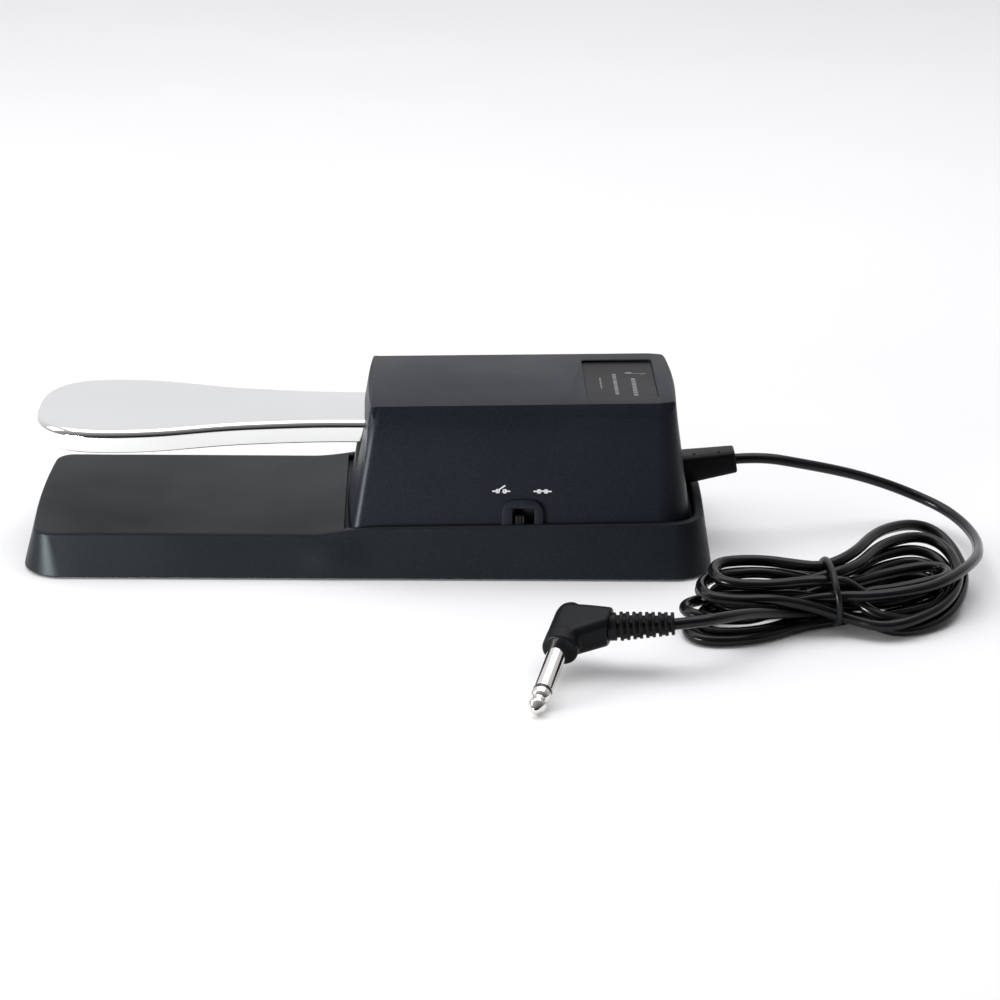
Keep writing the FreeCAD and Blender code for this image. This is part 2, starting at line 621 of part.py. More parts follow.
def plug_axes():
    """The plug's centre, the way its pin points, the way its neck points and the way its lead leaves."""
    pin = direction(PIN_AZIMUTH, PIN_PITCH)
    reach = BOSS_LENGTH + SLEEVE_LENGTH + INSULATOR_LENGTH + TIP_PROFILE[-1][0]
    centre = PLUG_POINT - pin * reach
    neck = UP.cross(pin).normalize()
    return centre, pin, neck, direction(PLUG_AZIMUTH, PLUG_RISE)


def plug_body():
    """Right-angle moulded body: a rounded head, a boss round the sleeve and a tapered neck to the collar."""
    centre, pin, neck_way, _ = plug_axes()
    head = box(-7.5, 7.5, -7.3, 7.3, -6.5, 8.0)
    head = head.makeFillet(3.4, [edge for edge in head.Edges if edge.BoundBox.ZLength > 10])
    boss = Part.makeCylinder(BOSS_RADIUS, BOSS_LENGTH, V(0, 0, 0), V(0, 0, -1))
    neck = Part.makeCone(7.2, 6.0, COLLAR_PLACE - 2, V(0, 0, 0), V(1, 0, 0))
    collar = Part.makeCylinder(6.0, 2.2, V(COLLAR_PLACE - 2.2, 0, 0), V(1, 0, 0))
    body = fuse([head, boss, neck, collar])
    return place(body, centre, neck_way, pin * -1)


def plug_metal():
    """Sleeve, insulating ring and tip of the plug, in that order along the pin."""
    centre, pin, _, _ = plug_axes()
    shoulder = centre + pin * BOSS_LENGTH
    ring_start = shoulder + pin * SLEEVE_LENGTH
    tip_start = ring_start + pin * INSULATOR_LENGTH
    sleeve = Part.makeCylinder(SLEEVE_RADIUS, SLEEVE_LENGTH, shoulder, pin)
    insulator = Part.makeCylinder(SLEEVE_RADIUS, INSULATOR_LENGTH, ring_start, pin)
    half = [V(0, 0, 0)] + [V(radius, 0, z) for z, radius in TIP_PROFILE] + [V(0, 0, TIP_PROFILE[-1][0])]
    tip = Part.Face(Part.makePolygon(half + half[:1])).revolve(V(0, 0, 0), UP, 360)
    return sleeve, insulator, place(tip, tip_start, V(1, 0, 0), pin)


def plug_relief_axis():
    """Start and direction of the ribbed strain relief behind the plug's body."""
    centre, _, neck_way, lead = plug_axes()
    return centre + neck_way * COLLAR_PLACE, lead


def plug_strain_relief(moulding):
    """Ribbed flexible sleeve between the plug's collar and the lead."""
    start, along = plug_relief_axis()
    first, last = PLUG_RELIEF_RADII
    root = Part.makeCylinder(first, 1.6, start - along * 1.0, along)
    core = Part.makeCone(first - 1.1, last - 1.0, PLUG_RELIEF_LENGTH, start, along)
    pitch = PLUG_RELIEF_LENGTH / RIB_COUNT
    ribs = []
    for i in range(RIB_COUNT):
        radius = first + (last - first) * i / (RIB_COUNT - 1)
        ribs.append(Part.makeCylinder(radius, pitch * 0.6, start + along * (pitch * (i + 0.4)), along))
    return fuse([root, core] + ribs).cut(moulding)


def tail_route():
    """The lead from the hank to the plug's strain relief."""
    start, along = plug_relief_axis()
    end = start + along * PLUG_RELIEF_LENGTH
    before = end + along * 7.0
    return [(end.x, end.y, end.z), (before.x, before.y, before.z)] + list(TAIL_ROUTE)


def main():
    """Build every node and write it as a STEP file."""
    os.makedirs("parts", exist_ok=True)
    relief = cord_strain_relief()
    sleeve, insulator, tip = plug_metal()
    moulding = plug_body()
    hank = cord_hank()
    peg = SPRING_MEAN_RADIUS - SPRING_WIRE - 0.8
    stop_x0, stop_x1, stop_half = STOP
    nodes = {
        "base_shell": base_shell(),
        "bottom_plate": bottom_plate(),
        "base_screws": screws(BASE_SCREW_PLACES, PLATE_LOW, 0.9, 2.9, 11.5, SCREW_RADIUS, False),
        "rubber_feet": rubber_feet(),
        "ballast_weight": ballast_weight(),
        "ballast_screws": screws(BALLAST_SCREW_PLACES, BALLAST[3], 1.6, 3.2, PLATE_LOW, SCREW_RADIUS, True),
        "top_housing": top_housing(relief),
        "housing_screws": screws(HOUSING_SCREW_PLACES, DECK_UNDER, 1.6, 2.9, 26.0, SCREW_RADIUS, False),
        "label_plate": label_plate(),
        "polarity_bezel": polarity_bezel(),
        "polarity_slider": polarity_slider(),
        "polarity_switch_body": polarity_switch_body(),
        "pedal_lever": pedal_lever(),
        "lever_arm": lever_arm(),
        "lever_rivets": lever_rivets(),
        "pivot_bracket": pivot_bracket(),
        "bracket_screws": screws(BRACKET_SCREW_PLACES, PLATE_TOP + BRACKET_FOOT[3], 1.6, 2.9, PLATE_LOW,
                                 SCREW_RADIUS, True),
        "pivot_pin": cross_rod(PIVOT, EAR_OUTER + 1.6, PIN_RADIUS),
        "pin_clips": pin_clips(),
        "pivot_bushes": pivot_bushes(),
        "return_spring": return_spring(),
        "lower_spring_seat": fuse([rod(SPRING_X, 0, PLATE_TOP, SEAT_TOP, 8.0),
                                   rod(SPRING_X, 0, SEAT_TOP, 10.5, peg)]),
        "upper_spring_seat": fuse([rod(SPRING_X, 0, SPRING_HIGH, ARM_LOW, 7.2),
                                   rod(SPRING_X, 0, 35.5, SPRING_HIGH, peg)]),
        "stop_post": box(stop_x0, stop_x1, -stop_half, stop_half, PLATE_TOP, STOP_POST_TOP),
        "lower_stop_pad": box(stop_x0, stop_x1, -stop_half, stop_half, STOP_POST_TOP, LOWER_PAD_TOP),
        "upper_stop_pad": box(stop_x0, stop_x1 + 2.5, -stop_half, stop_half, LEVER_TOP + 0.2, 60).common(
            below_roof(WALL)),
        "circuit_board": circuit_board(),
        "board_posts": board_posts(),
        "board_screws": screws(BOARD_POSTS, BOARD_TOP, 1.5, 2.6, 11.0, SCREW_RADIUS, True),
        "foot_switch_body": foot_switch_body(),
        "switch_plunger": rod(PLUNGER[0], PLUNGER[1], 31.0, ARM_LOW - 0.3, PLUNGER[2]),
        "inner_cord": tube("inner_cord", inner_route(), CORD_RADIUS - 0.3),
        "cord_strain_relief": relief,
        "cord_lead": up_to(hank, tube("cord_lead", LEAD_ROUTE, CORD_RADIUS)),
        "cord_hank": hank,
        "hank_tie": hank_tie(),
        "cord_tail": up_to(hank, tube("cord_tail", tail_route(), CORD_RADIUS)),
        "plug_strain_relief": plug_strain_relief(moulding),
        "plug_body": moulding,
        "plug_sleeve": sleeve,
        "plug_insulator": insulator,
        "plug_tip": tip,
    }
    for name, shape in nodes.items():
        solids = shape.Solids
        closed = all(solid.isClosed() and solid.isValid() for solid in solids)
        if not (solids and closed and shape.isValid()):
            print(f"CHECK {name}: {len(solids)} solids, closed {closed}, valid {shape.isValid()}")
        shape.exportStep(f"parts/{name}.step")
    print(f"{len(nodes)} nodes written")


main()
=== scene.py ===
"""Looks of the sustain pedal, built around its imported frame.

Sizes in the classes are millimetres in the pedal's own frame: +X runs from the lever's toe to the lead, +Z is
up and -Y is the side with the polarity switch.
"""
import logging
import math
from dataclasses import dataclass
from enum import Enum

import bmesh
import bpy
import numpy as np
from mathutils import Matrix, Vector


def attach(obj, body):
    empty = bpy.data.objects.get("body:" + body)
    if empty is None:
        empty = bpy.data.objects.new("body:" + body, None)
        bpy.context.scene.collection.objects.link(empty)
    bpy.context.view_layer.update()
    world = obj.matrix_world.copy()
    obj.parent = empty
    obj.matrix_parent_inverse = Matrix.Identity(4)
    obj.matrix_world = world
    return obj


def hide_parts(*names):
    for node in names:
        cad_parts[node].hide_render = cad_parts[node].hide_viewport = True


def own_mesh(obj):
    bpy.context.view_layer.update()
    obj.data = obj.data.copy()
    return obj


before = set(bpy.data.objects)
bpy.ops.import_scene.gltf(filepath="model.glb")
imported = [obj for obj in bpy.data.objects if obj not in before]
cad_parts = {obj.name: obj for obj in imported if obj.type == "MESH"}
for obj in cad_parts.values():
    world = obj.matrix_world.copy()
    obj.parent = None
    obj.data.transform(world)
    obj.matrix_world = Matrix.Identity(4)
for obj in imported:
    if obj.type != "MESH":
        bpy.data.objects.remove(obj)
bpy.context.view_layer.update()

MM = 0.001
UP = Vector((0.0, 0.0, 1.0))
LOG = logging.getLogger("pedal")
Point = tuple[float, float, float]
Plan = list[tuple[float, float]]


class Body(Enum):
    """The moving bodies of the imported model."""

    BASE = "base"
    LEVER = "lever"
    PLUNGER = "plunger"
    KNOB = "polarity_knob"


# ---- finishes ---------------------------------------------------------------
class Desk:
    """Lays out the nodes of one material round its Principled shader."""

    def __init__(self, name: str) -> None:
        """Start an empty material with a shader and object coordinates."""
        self.material = bpy.data.materials.new(name)
        self.material.use_nodes = True
        self.tree = self.material.node_tree
        self.shader = self.tree.nodes["Principled BSDF"]
        self.place = self.tree.nodes.new("ShaderNodeTexCoord").outputs["Object"]

    def fixed(self, **values: float) -> None:
        """Set even values on the shader's own sockets, with _ standing for a space."""
        for socket, value in values.items():
            self.shader.inputs[socket.replace("_", " ")].default_value = value

    def noise(self, scale: float, detail: float = 3.0,
              stretch: Point = (1.0, 1.0, 1.0)) -> bpy.types.NodeSocket:
        """A noise over the object, from its cells per metre, its octaves and its factors on X, Y and Z."""
        mapping = self.tree.nodes.new("ShaderNodeMapping")
        mapping.inputs["Scale"].default_value = stretch
        self.tree.links.new(self.place, mapping.inputs["Vector"])
        node = self.tree.nodes.new("ShaderNodeTexNoise")
        node.inputs["Scale"].default_value = scale
        node.inputs["Detail"].default_value = detail
        self.tree.links.new(mapping.outputs["Vector"], node.inputs["Vector"])
        return node.outputs["Fac"]

    def between(self, source: bpy.types.NodeSocket, low: float, high: float, target: str) -> None:
        """Spread a noise value between two numbers on one of the shader's sockets."""
        node = self.tree.nodes.new("ShaderNodeMapRange")
        node.inputs["From Min"].default_value = 0.3
        node.inputs["From Max"].default_value = 0.7
        node.inputs["To Min"].default_value = low
        node.inputs["To Max"].default_value = high
        self.tree.links.new(source, node.inputs["Value"])
        self.tree.links.new(node.outputs["Result"], self.shader.inputs[target])

    def colours(self, source: bpy.types.NodeSocket, stops: list[tuple[float, Point]]) -> None:
        """Colour the base by a ramp over a noise value."""
        node = self.tree.nodes.new("ShaderNodeValToRGB")
        ramp = node.color_ramp
        while len(ramp.elements) < len(stops):
            ramp.elements.new(0.5)
        for element, (place, colour) in zip(ramp.elements, stops):
            element.position = place
            element.color = (*colour, 1.0)
        self.tree.links.new(source, node.inputs["Fac"])
        self.tree.links.new(node.outputs["Color"], self.shader.inputs["Base Color"])

    def bumps(self, layers: list[tuple[bpy.types.NodeSocket, float, float]]) -> None:
        """Stack bump layers, each a height socket, a strength and a depth in metres."""
        previous = None
        for height, strength, depth in layers:
            node = self.tree.nodes.new("ShaderNodeBump")
            node.inputs["Strength"].default_value = strength
            node.inputs["Distance"].default_value = depth
            self.tree.links.new(height, node.inputs["Height"])
            if previous:
                self.tree.links.new(previous, node.inputs["Normal"])
            previous = node.outputs["Normal"]
        self.tree.links.new(previous, self.shader.inputs["Normal"])


def tint(colour: Point, factor: float) -> Point:
    """A colour made lighter or darker by a factor."""
    return tuple(min(1.0, channel * factor) for channel in colour)


@dataclass(frozen=True)
class Moulding:
    """Injection-moulded plastic or rubber with a fine spark-eroded grain."""

    name: str
    colour: Point
    rough: float = 0.45
    grain: float = 1900.0
    depth: float = 0.00005
    strength: float = 0.35
    speckle: float = 1.35
    shine: float = 0.5
    tone: Point = (1.0, 1.0, 1.0)

    def material(self) -> bpy.types.Material:
        """Build the material: cloudy colour, speckle, grain bump and uneven gloss."""
        desk = Desk(self.name)
        grain = desk.noise(self.grain, 4.0)
        cloud = desk.noise(24.0, 3.0)
        desk.colours(grain, [(0.30, tint(self.colour, 0.78)), (0.52, self.colour),
                             (0.70, tint(self.colour, self.speckle))])
        desk.between(cloud, self.rough - 0.05, self.rough + 0.05, "Roughness")
        desk.bumps([(grain, self.strength, self.depth), (desk.noise(60.0, 2.0), 0.05, 0.00012)])
        desk.fixed(Specular_IOR_Level=self.shine, Specular_Tint=(*self.tone, 1.0))
        return desk.material


@dataclass(frozen=True)
class Plating:
    """Bright plated metal with faint polishing marks."""

    name: str
    colour: Point
    rough: float = 0.05
    haze: float = 0.05
    stretch: Point = (1.0, 1.0, 1.0)

    def material(self) -> bpy.types.Material:
        """Build the material: metal colour, hazy gloss and a very shallow waviness."""
        desk = Desk(self.name)
        marks = desk.noise(500.0, 4.0, self.stretch)
        wave = desk.noise(18.0, 2.0)
        desk.colours(wave, [(0.35, tint(self.colour, 0.96)), (0.65, self.colour)])
        desk.between(marks, self.rough, self.rough + self.haze, "Roughness")
        desk.bumps([(wave, 0.04, 0.0002), (marks, 0.02, 0.00002)])
        desk.fixed(Metallic=1.0)
        return desk.material


@dataclass(frozen=True)
class WorkedMetal:
    """Machined, sheet or cast metal with a directional grain."""

    name: str
    colour: Point
    rough: float = 0.3
    stretch: Point = (1.0, 14.0, 14.0)
    depth: float = 0.00003
    metallic: float = 1.0

    def material(self) -> bpy.types.Material:
        """Build the material: streaked colour and gloss along the working direction."""
        desk = Desk(self.name)
        streak = desk.noise(160.0, 5.0, self.stretch)
        desk.colours(streak, [(0.32, tint(self.colour, 0.7)), (0.5, self.colour),
                              (0.68, tint(self.colour, 1.25))])
        desk.between(streak, self.rough - 0.07, self.rough + 0.1, "Roughness")
        desk.bumps([(streak, 0.3, self.depth)])
        desk.fixed(Metallic=self.metallic)
        return desk.material


@dataclass(frozen=True)
class Jacket:
    """Extruded flexible jacket: glossy, with slight ripples from the extruder."""

    name: str
    colour: Point
    rough: float = 0.3

    def material(self) -> bpy.types.Material:
        """Build the material: near-even colour, rippled gloss and handling haze."""
        desk = Desk(self.name)
        haze = desk.noise(90.0, 4.0)
        fine = desk.noise(2600.0, 3.0)
        desk.colours(haze, [(0.35, tint(self.colour, 0.8)), (0.65, tint(self.colour, 1.25))])
        desk.between(haze, self.rough - 0.06, self.rough + 0.08, "Roughness")
        desk.bumps([(fine, 0.12, 0.00003), (desk.noise(220.0, 2.0), 0.15, 0.00008)])
        desk.fixed(Specular_IOR_Level=0.26)
        return desk.material


@dataclass(frozen=True)
class Paper:
    """Pale matt background paper."""

    name: str
    dark: Point
    light: Point

    def material(self) -> bpy.types.Material:
        """Build the material: a barely clouded colour with hardly any gloss."""
        desk = Desk(self.name)
        desk.colours(desk.noise(6.0), [(0.3, self.dark), (0.7, self.light)])
        desk.fixed(Roughness=0.95, Specular_IOR_Level=0.1)
        return desk.material


class Finishes:
    """Every finish of the pedal, each made into a material once."""

    KINDS = {
        "shell": Moulding("shell_abs", (0.0055, 0.007, 0.0105), rough=0.42, depth=0.00008, strength=0.6,
                          speckle=1.7, shine=0.17, tone=(0.86, 0.95, 1.0)),
        "shell_base": Moulding("base_abs", (0.0055, 0.0068, 0.0085), rough=0.44, depth=0.00008, strength=0.6,
                               speckle=1.6, shine=0.17, tone=(0.84, 0.95, 1.0)),
        "sheet": Moulding("black_paint", (0.02, 0.02, 0.022), rough=0.4, grain=900.0, depth=0.00008),
        "foot": Moulding("foot_rubber_black", (0.018, 0.018, 0.018), rough=0.8, grain=1200.0, shine=0.25),
        "label": Moulding("label_film", (0.008, 0.0085, 0.009), rough=0.40, grain=3200.0, speckle=1.15,
                          strength=0.15, shine=0.12),
        "label_ink": Moulding("label_ink", (0.20, 0.20, 0.205), rough=0.5, grain=2600.0, speckle=1.1,
                              strength=0.2, shine=0.2),
        "print": Moulding("screen_print", (0.55, 0.55, 0.56), rough=0.5, grain=2600.0, speckle=1.1,
                          strength=0.2),
        "knob": Moulding("knob_black", (0.006, 0.006, 0.007), rough=0.4, grain=2400.0, shine=0.2),
        "case": Moulding("switch_case_black", (0.02, 0.02, 0.022), rough=0.5),
        "red": Moulding("plunger_red", (0.45, 0.02, 0.018), rough=0.4, speckle=1.1),
        "nylon": Moulding("natural_nylon", (0.68, 0.66, 0.6), rough=0.5, speckle=1.05, grain=1200.0),
        "board": Moulding("solder_resist", (0.015, 0.14, 0.05), rough=0.3, speckle=1.2, grain=1500.0),
        "relief": Moulding("relief_rubber_black", (0.0045, 0.0048, 0.0056), rough=0.38, grain=2200.0,
                           shine=0.13),
        "plug": Moulding("plug_moulding_black", (0.004, 0.0046, 0.0056), rough=0.36, grain=2400.0,
                         shine=0.12),
        "ring": Moulding("insulating_ring", (0.02, 0.02, 0.02), rough=0.3, grain=2600.0),
        "tie": Moulding("tie_coating", (0.006, 0.0065, 0.0075), rough=0.36, grain=2400.0, shine=0.25),
        "cord": Jacket("lead_jacket", (0.0035, 0.0038, 0.0045), rough=0.2),
        "chrome": Plating("lever_chrome_plate", (0.83, 0.835, 0.82), rough=0.035, haze=0.03),
        "nickel": Plating("plug_nickel_plate", (0.80, 0.77, 0.74), rough=0.07, haze=0.05,
                          stretch=(1.0, 1.0, 8.0)),
        "screw": WorkedMetal("zinc_screw", (0.48, 0.48, 0.5), rough=0.32, stretch=(1.0, 1.0, 6.0)),
        "steel": WorkedMetal("galvanised_steel", (0.5, 0.5, 0.51), rough=0.38),
        "pin": WorkedMetal("ground_steel", (0.6, 0.6, 0.61), rough=0.22, stretch=(1.0, 1.0, 10.0)),
        "brass": WorkedMetal("turned_brass", (0.7, 0.5, 0.2), rough=0.25, stretch=(8.0, 1.0, 1.0)),
        "paper": Paper("floor_paper", (0.92, 0.92, 0.925), (0.94, 0.94, 0.945)),
        "iron": WorkedMetal("raw_iron", (0.11, 0.105, 0.1), rough=0.6, stretch=(1.0, 1.0, 1.0), depth=0.0003),
    }
    CAD_NODES = {
        "sheet": ("bottom_plate",),
        "screw": ("base_screws", "housing_screws", "ballast_screws", "bracket_screws", "board_screws"),
        "foot": ("rubber_feet", "lower_stop_pad", "upper_stop_pad"),
        "iron": ("ballast_weight",),
        "case": ("polarity_switch_body", "foot_switch_body"),
        "red": ("switch_plunger",),
        "steel": ("lever_arm", "lever_rivets", "pivot_bracket"),
        "pin": ("pivot_pin", "pin_clips"),
        "brass": ("pivot_bushes",),
        "nylon": ("lower_spring_seat", "upper_spring_seat", "stop_post", "board_posts"),
        "board": ("circuit_board",),
        "cord": ("inner_cord",),
    }

    def __init__(self) -> None:
        """Start with no materials made."""
        self.made: dict[str, bpy.types.Material] = {}

    def get(self, key: str) -> bpy.types.Material:
        """The material of one finish, built at its first use."""
        if key not in self.made:
            self.made[key] = self.KINDS[key].material()
        return self.made[key]

    def dress_frame(self) -> None:
        """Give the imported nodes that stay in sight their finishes."""
        for key, names in self.CAD_NODES.items():
            for name in names:
                node = bpy.data.objects[name]
                node.data.materials.clear()
                node.data.materials.append(self.get(key))


FINISHES = Finishes()


# ---- mesh work --------------------------------------------------------------
class Shape:
    """One mesh under construction, in millimetres."""

    def __init__(self) -> None:
        """Start with an empty mesh."""
        self.bm = bmesh.new()

    def ring(self, points: list[Point]) -> list[bmesh.types.BMVert]:
        """Add a row of points."""
        return [self.bm.verts.new(point) for point in points]

    def bridge(self, first: list, second: list) -> None:
        """Join two closed rows of equal length with quads."""
        count = len(first)
        for i in range(count):
            j = (i + 1) % count
            self.face([first[i], first[j], second[j], second[i]])

    def face(self, corners: list) -> None:
        """Add a face, leaving out repeated corners."""
        unique = list(dict.fromkeys(corners))
        if len(unique) > 2:
            self.bm.faces.new(unique)

    def loft(self, rings: list[list[Point]], cap_start: bool = True, cap_end: bool = True) -> list[list]:
        """Skin a stack of closed rings, close its ends if asked, and return the rows of vertices."""
        rows = self.skin(rings)
        if cap_start:
            self.face(rows[0][::-1])
        if cap_end:
            self.face(rows[-1])
        return rows

    def skin(self, rows: list[list[Point]]) -> list[list]:
        """Bridge a stack of closed rows that stays open at both ends, and return its vertices."""
        made = [self.ring(row) for row in rows]
        for first, second in zip(made, made[1:]):
            self.bridge(first, second)
        return made

    def across(self, row: list) -> None:
        """Close a ring that is mirrored about the middle with strips from side to side."""
        half = len(row) // 2
        for i in range(half):
            left, right = i, (len(row) - i) % len(row)
            next_left, next_right = i + 1, (len(row) - i - 1) % len(row)
            self.face([row[left], row[next_left], row[next_right], row[right]])

    def build(self, name: str, finish: str, angle: float = 28.0) -> bpy.types.Object:
        """Turn the mesh into an object.

        Args:
            name: The piece's name.
            finish: Key of its finish.
            angle: Edges sharper than this stay sharp, in degrees.

        Returns:
            The new object.
        """
        bmesh.ops.remove_doubles(self.bm, verts=self.bm.verts, dist=1e-4)
        bmesh.ops.recalc_face_normals(self.bm, faces=self.bm.faces)
        bmesh.ops.scale(self.bm, vec=(MM, MM, MM), verts=self.bm.verts)
        mesh = bpy.data.meshes.new(name)
        self.bm.to_mesh(mesh)
        self.bm.free()
        piece = bpy.data.objects.new(name, mesh)
        bpy.context.scene.collection.objects.link(piece)
        crease(piece, angle)
        mesh.materials.append(FINISHES.get(finish))
        return piece


def crease(piece: bpy.types.Object, angle: float) -> None:
    """Shade a mesh smooth but for its edges sharper than angle, in degrees."""
    bm = bmesh.new()
    bm.from_mesh(piece.data)
    limit = math.radians(angle)
    for face in bm.faces:
        face.smooth = True
    for edge in bm.edges:
        edge.smooth = len(edge.link_faces) == 2 and edge.calc_face_angle() < limit
    bm.to_mesh(piece.data)
    bm.free()


def settle_modifiers(piece: bpy.types.Object, angle: float = 28.0) -> None:
    """Apply a piece's modifiers to its mesh and shade it again."""
    graph = bpy.context.evaluated_depsgraph_get()
    mesh = bpy.data.meshes.new_from_object(piece.evaluated_get(graph))
    piece.modifiers.clear()
    old = piece.data
    piece.data = mesh
    bpy.data.meshes.remove(old)
    crease(piece, angle)


def carve(piece: bpy.types.Object, cutters: list[bpy.types.Object], angle: float = 28.0,
          operation: str = "DIFFERENCE") -> None:
    """Cut other shapes out of a piece, or join them to it, and remove them."""
    for cutter in cutters:
        cut = piece.modifiers.new("cut", "BOOLEAN")
        cut.object = cutter
        cut.operation = operation
        cut.solver = "EXACT"
    settle_modifiers(piece, angle)
    for cutter in cutters:
        bpy.data.objects.remove(cutter)


def soften(piece: bpy.types.Object, width: float, segments: int = 3, angle: float = 28.0,
           limit: float = 30.0) -> None:
    """Round a piece's edges.

    Args:
        piece: The piece.
        width: Size of the rounding, in millimetres.
        segments: Facets across it.
        angle: Edges sharper than this stay sharp afterwards, in degrees.
        limit: Edges sharper than this are rounded, in degrees.
    """
    bevel = piece.modifiers.new("soften", "BEVEL")
    bevel.width = width * MM
    bevel.segments = segments
    bevel.limit_method = "ANGLE"
    bevel.angle_limit = math.radians(limit)
    settle_modifiers(piece, angle)


def placed(points: list[Point], origin: Vector, x_dir: Vector, z_dir: Vector) -> list[Point]:
    """Points given along two directions from an origin, in the pedal's frame."""
    z_dir = z_dir.normalized()
    y_dir = z_dir.cross(x_dir).normalized()
    x_dir = y_dir.cross(z_dir)
    return [tuple(origin + x_dir * x + y_dir * y + z_dir * z) for x, y, z in points]


def rounded_rectangle(half_x: float, half_y: float, corner: float, steps: int = 5) -> Plan:
    """The outline of a rectangle with rounded corners."""
    outline = []
    for quarter, (sign_x, sign_y) in enumerate(((1, 1), (-1, 1), (-1, -1), (1, -1))):
        for i in range(steps + 1):
            angle = math.pi / 2 * (quarter + i / steps)
            outline.append((sign_x * (half_x - corner) + corner * math.cos(angle),
                            sign_y * (half_y - corner) + corner * math.sin(angle)))
    return outline


def circle(radius: float, count: int = 32) -> Plan:
    """The outline of a circle."""
    return [(radius * math.cos(2 * math.pi * i / count), radius * math.sin(2 * math.pi * i / count))
            for i in range(count)]


def turned(name: str, finish: str, profile: list[tuple[float, float]], origin: Vector, axis: Vector,
           count: int = 40) -> bpy.types.Object:
    """A turned piece.

    Args:
        name: The piece's name.
        finish: Key of its finish.
        profile: Distance along the axis and radius, from start to end.
        origin: Where the axis starts.
        axis: Its direction.
        count: Facets round it.

    Returns:
        The new object.
    """
    side = Vector((1.0, 0.0, 0.0)) if abs(axis.normalized().x) < 0.8 else Vector((0.0, 1.0, 0.0))
    shape = Shape()
    shape.loft([placed([(x, y, along) for x, y in circle(radius, count)], origin, side, axis)
                for along, radius in profile])
    return shape.build(name, finish)


def standing_block(outline: Plan, z0: float, z1: float) -> bpy.types.Object:
    """An upright prism, for cutting."""
    shape = Shape()
    shape.loft([[(x, y, z0) for x, y in outline], [(x, y, z1) for x, y in outline]])
    return shape.build("cutter", "shell")


def mirrored(half: Plan) -> Plan:
    """A closed outline from its +Y half, which runs from the toe's middle to the heel's middle."""
    return half + [(x, -y) for x, y in half[-2:0:-1]]


def end_arc(end: float, half: float, corner: float, crown: float) -> Plan:
    """The bowed end wall and the corner of a plan outline, from the middle to the straight side."""
    bow = (half ** 2 + crown ** 2) / (2 * crown)
    reach = math.sqrt((bow - corner) ** 2 - (half - corner) ** 2)
    turn = math.atan2(half - corner, reach)
    wall = [(end - bow + bow * math.cos(turn * i / 8), bow * math.sin(turn * i / 8)) for i in range(8)]
    centre_x = end - bow + reach
    angles = [turn + (math.pi / 2 - turn) * i / 12 for i in range(13)]
    return wall + [(centre_x + corner * math.cos(a), half - corner + corner * math.sin(a)) for a in angles]


def half_plan(toe: float, heel: float, half: float, toe_corner: float, heel_corner: float, crown: float,
              stations: list[float]) -> Plan:
    """The +Y half of a drafted moulding's outline, from the toe's middle to the heel's middle."""
    middle, reach = (toe + heel) / 2, (heel - toe) / 2
    front = [(middle - x, y) for x, y in end_arc(reach, half, toe_corner, crown)]
    back = [(middle + x, y) for x, y in end_arc(reach, half, heel_corner, crown)]
    return front + [(x, half) for x in stations] + back[::-1]


def outward(outline: Plan, i: int, middle: float) -> Vector:
    """The normal of a closed outline at its point i, pointing away from (middle, 0)."""
    (x, y), ahead, behind = outline[i], outline[(i + 1) % len(outline)], outline[i - 1]
    normal = Vector((ahead[1] - behind[1], behind[0] - ahead[0])).normalized()
    return -normal if normal.x * (x - middle) + normal.y * y < 0 else normal


def blend_step(value: float, low: float, high: float) -> float:
    """A smooth step from 0 to 1."""
    share = min(1.0, max(0.0, (value - low) / (high - low)))
    return share * share * (3 - 2 * share)


def directed(azimuth: float, rise: float) -> Vector:
    """Unit direction from its angle in plan and its rise, in degrees."""
    a, r = math.radians(azimuth), math.radians(rise)
    return Vector((math.cos(r) * math.cos(a), math.cos(r) * math.sin(a), math.sin(r)))


# ---- camera and light -------------------------------------------------------
@dataclass(frozen=True)
class Lamp:
    """One soft box: where it hangs and points and its size, in metres, and its power in watts."""

    name: str
    place: Point
    aim: Point
    size: tuple[float, float]
    watts: float

    def hang(self) -> None:
        """Hang it."""
        data = bpy.data.lights.new(self.name, "AREA")
        data.shape = "RECTANGLE"
        data.size, data.size_y = self.size
        data.energy = self.watts
        lamp = bpy.data.objects.new(self.name, data)
        bpy.context.scene.collection.objects.link(lamp)
        lamp.location = self.place
        lamp.rotation_euler = (Vector(self.aim) - Vector(self.place)).to_track_quat("-Z", "Y").to_euler()


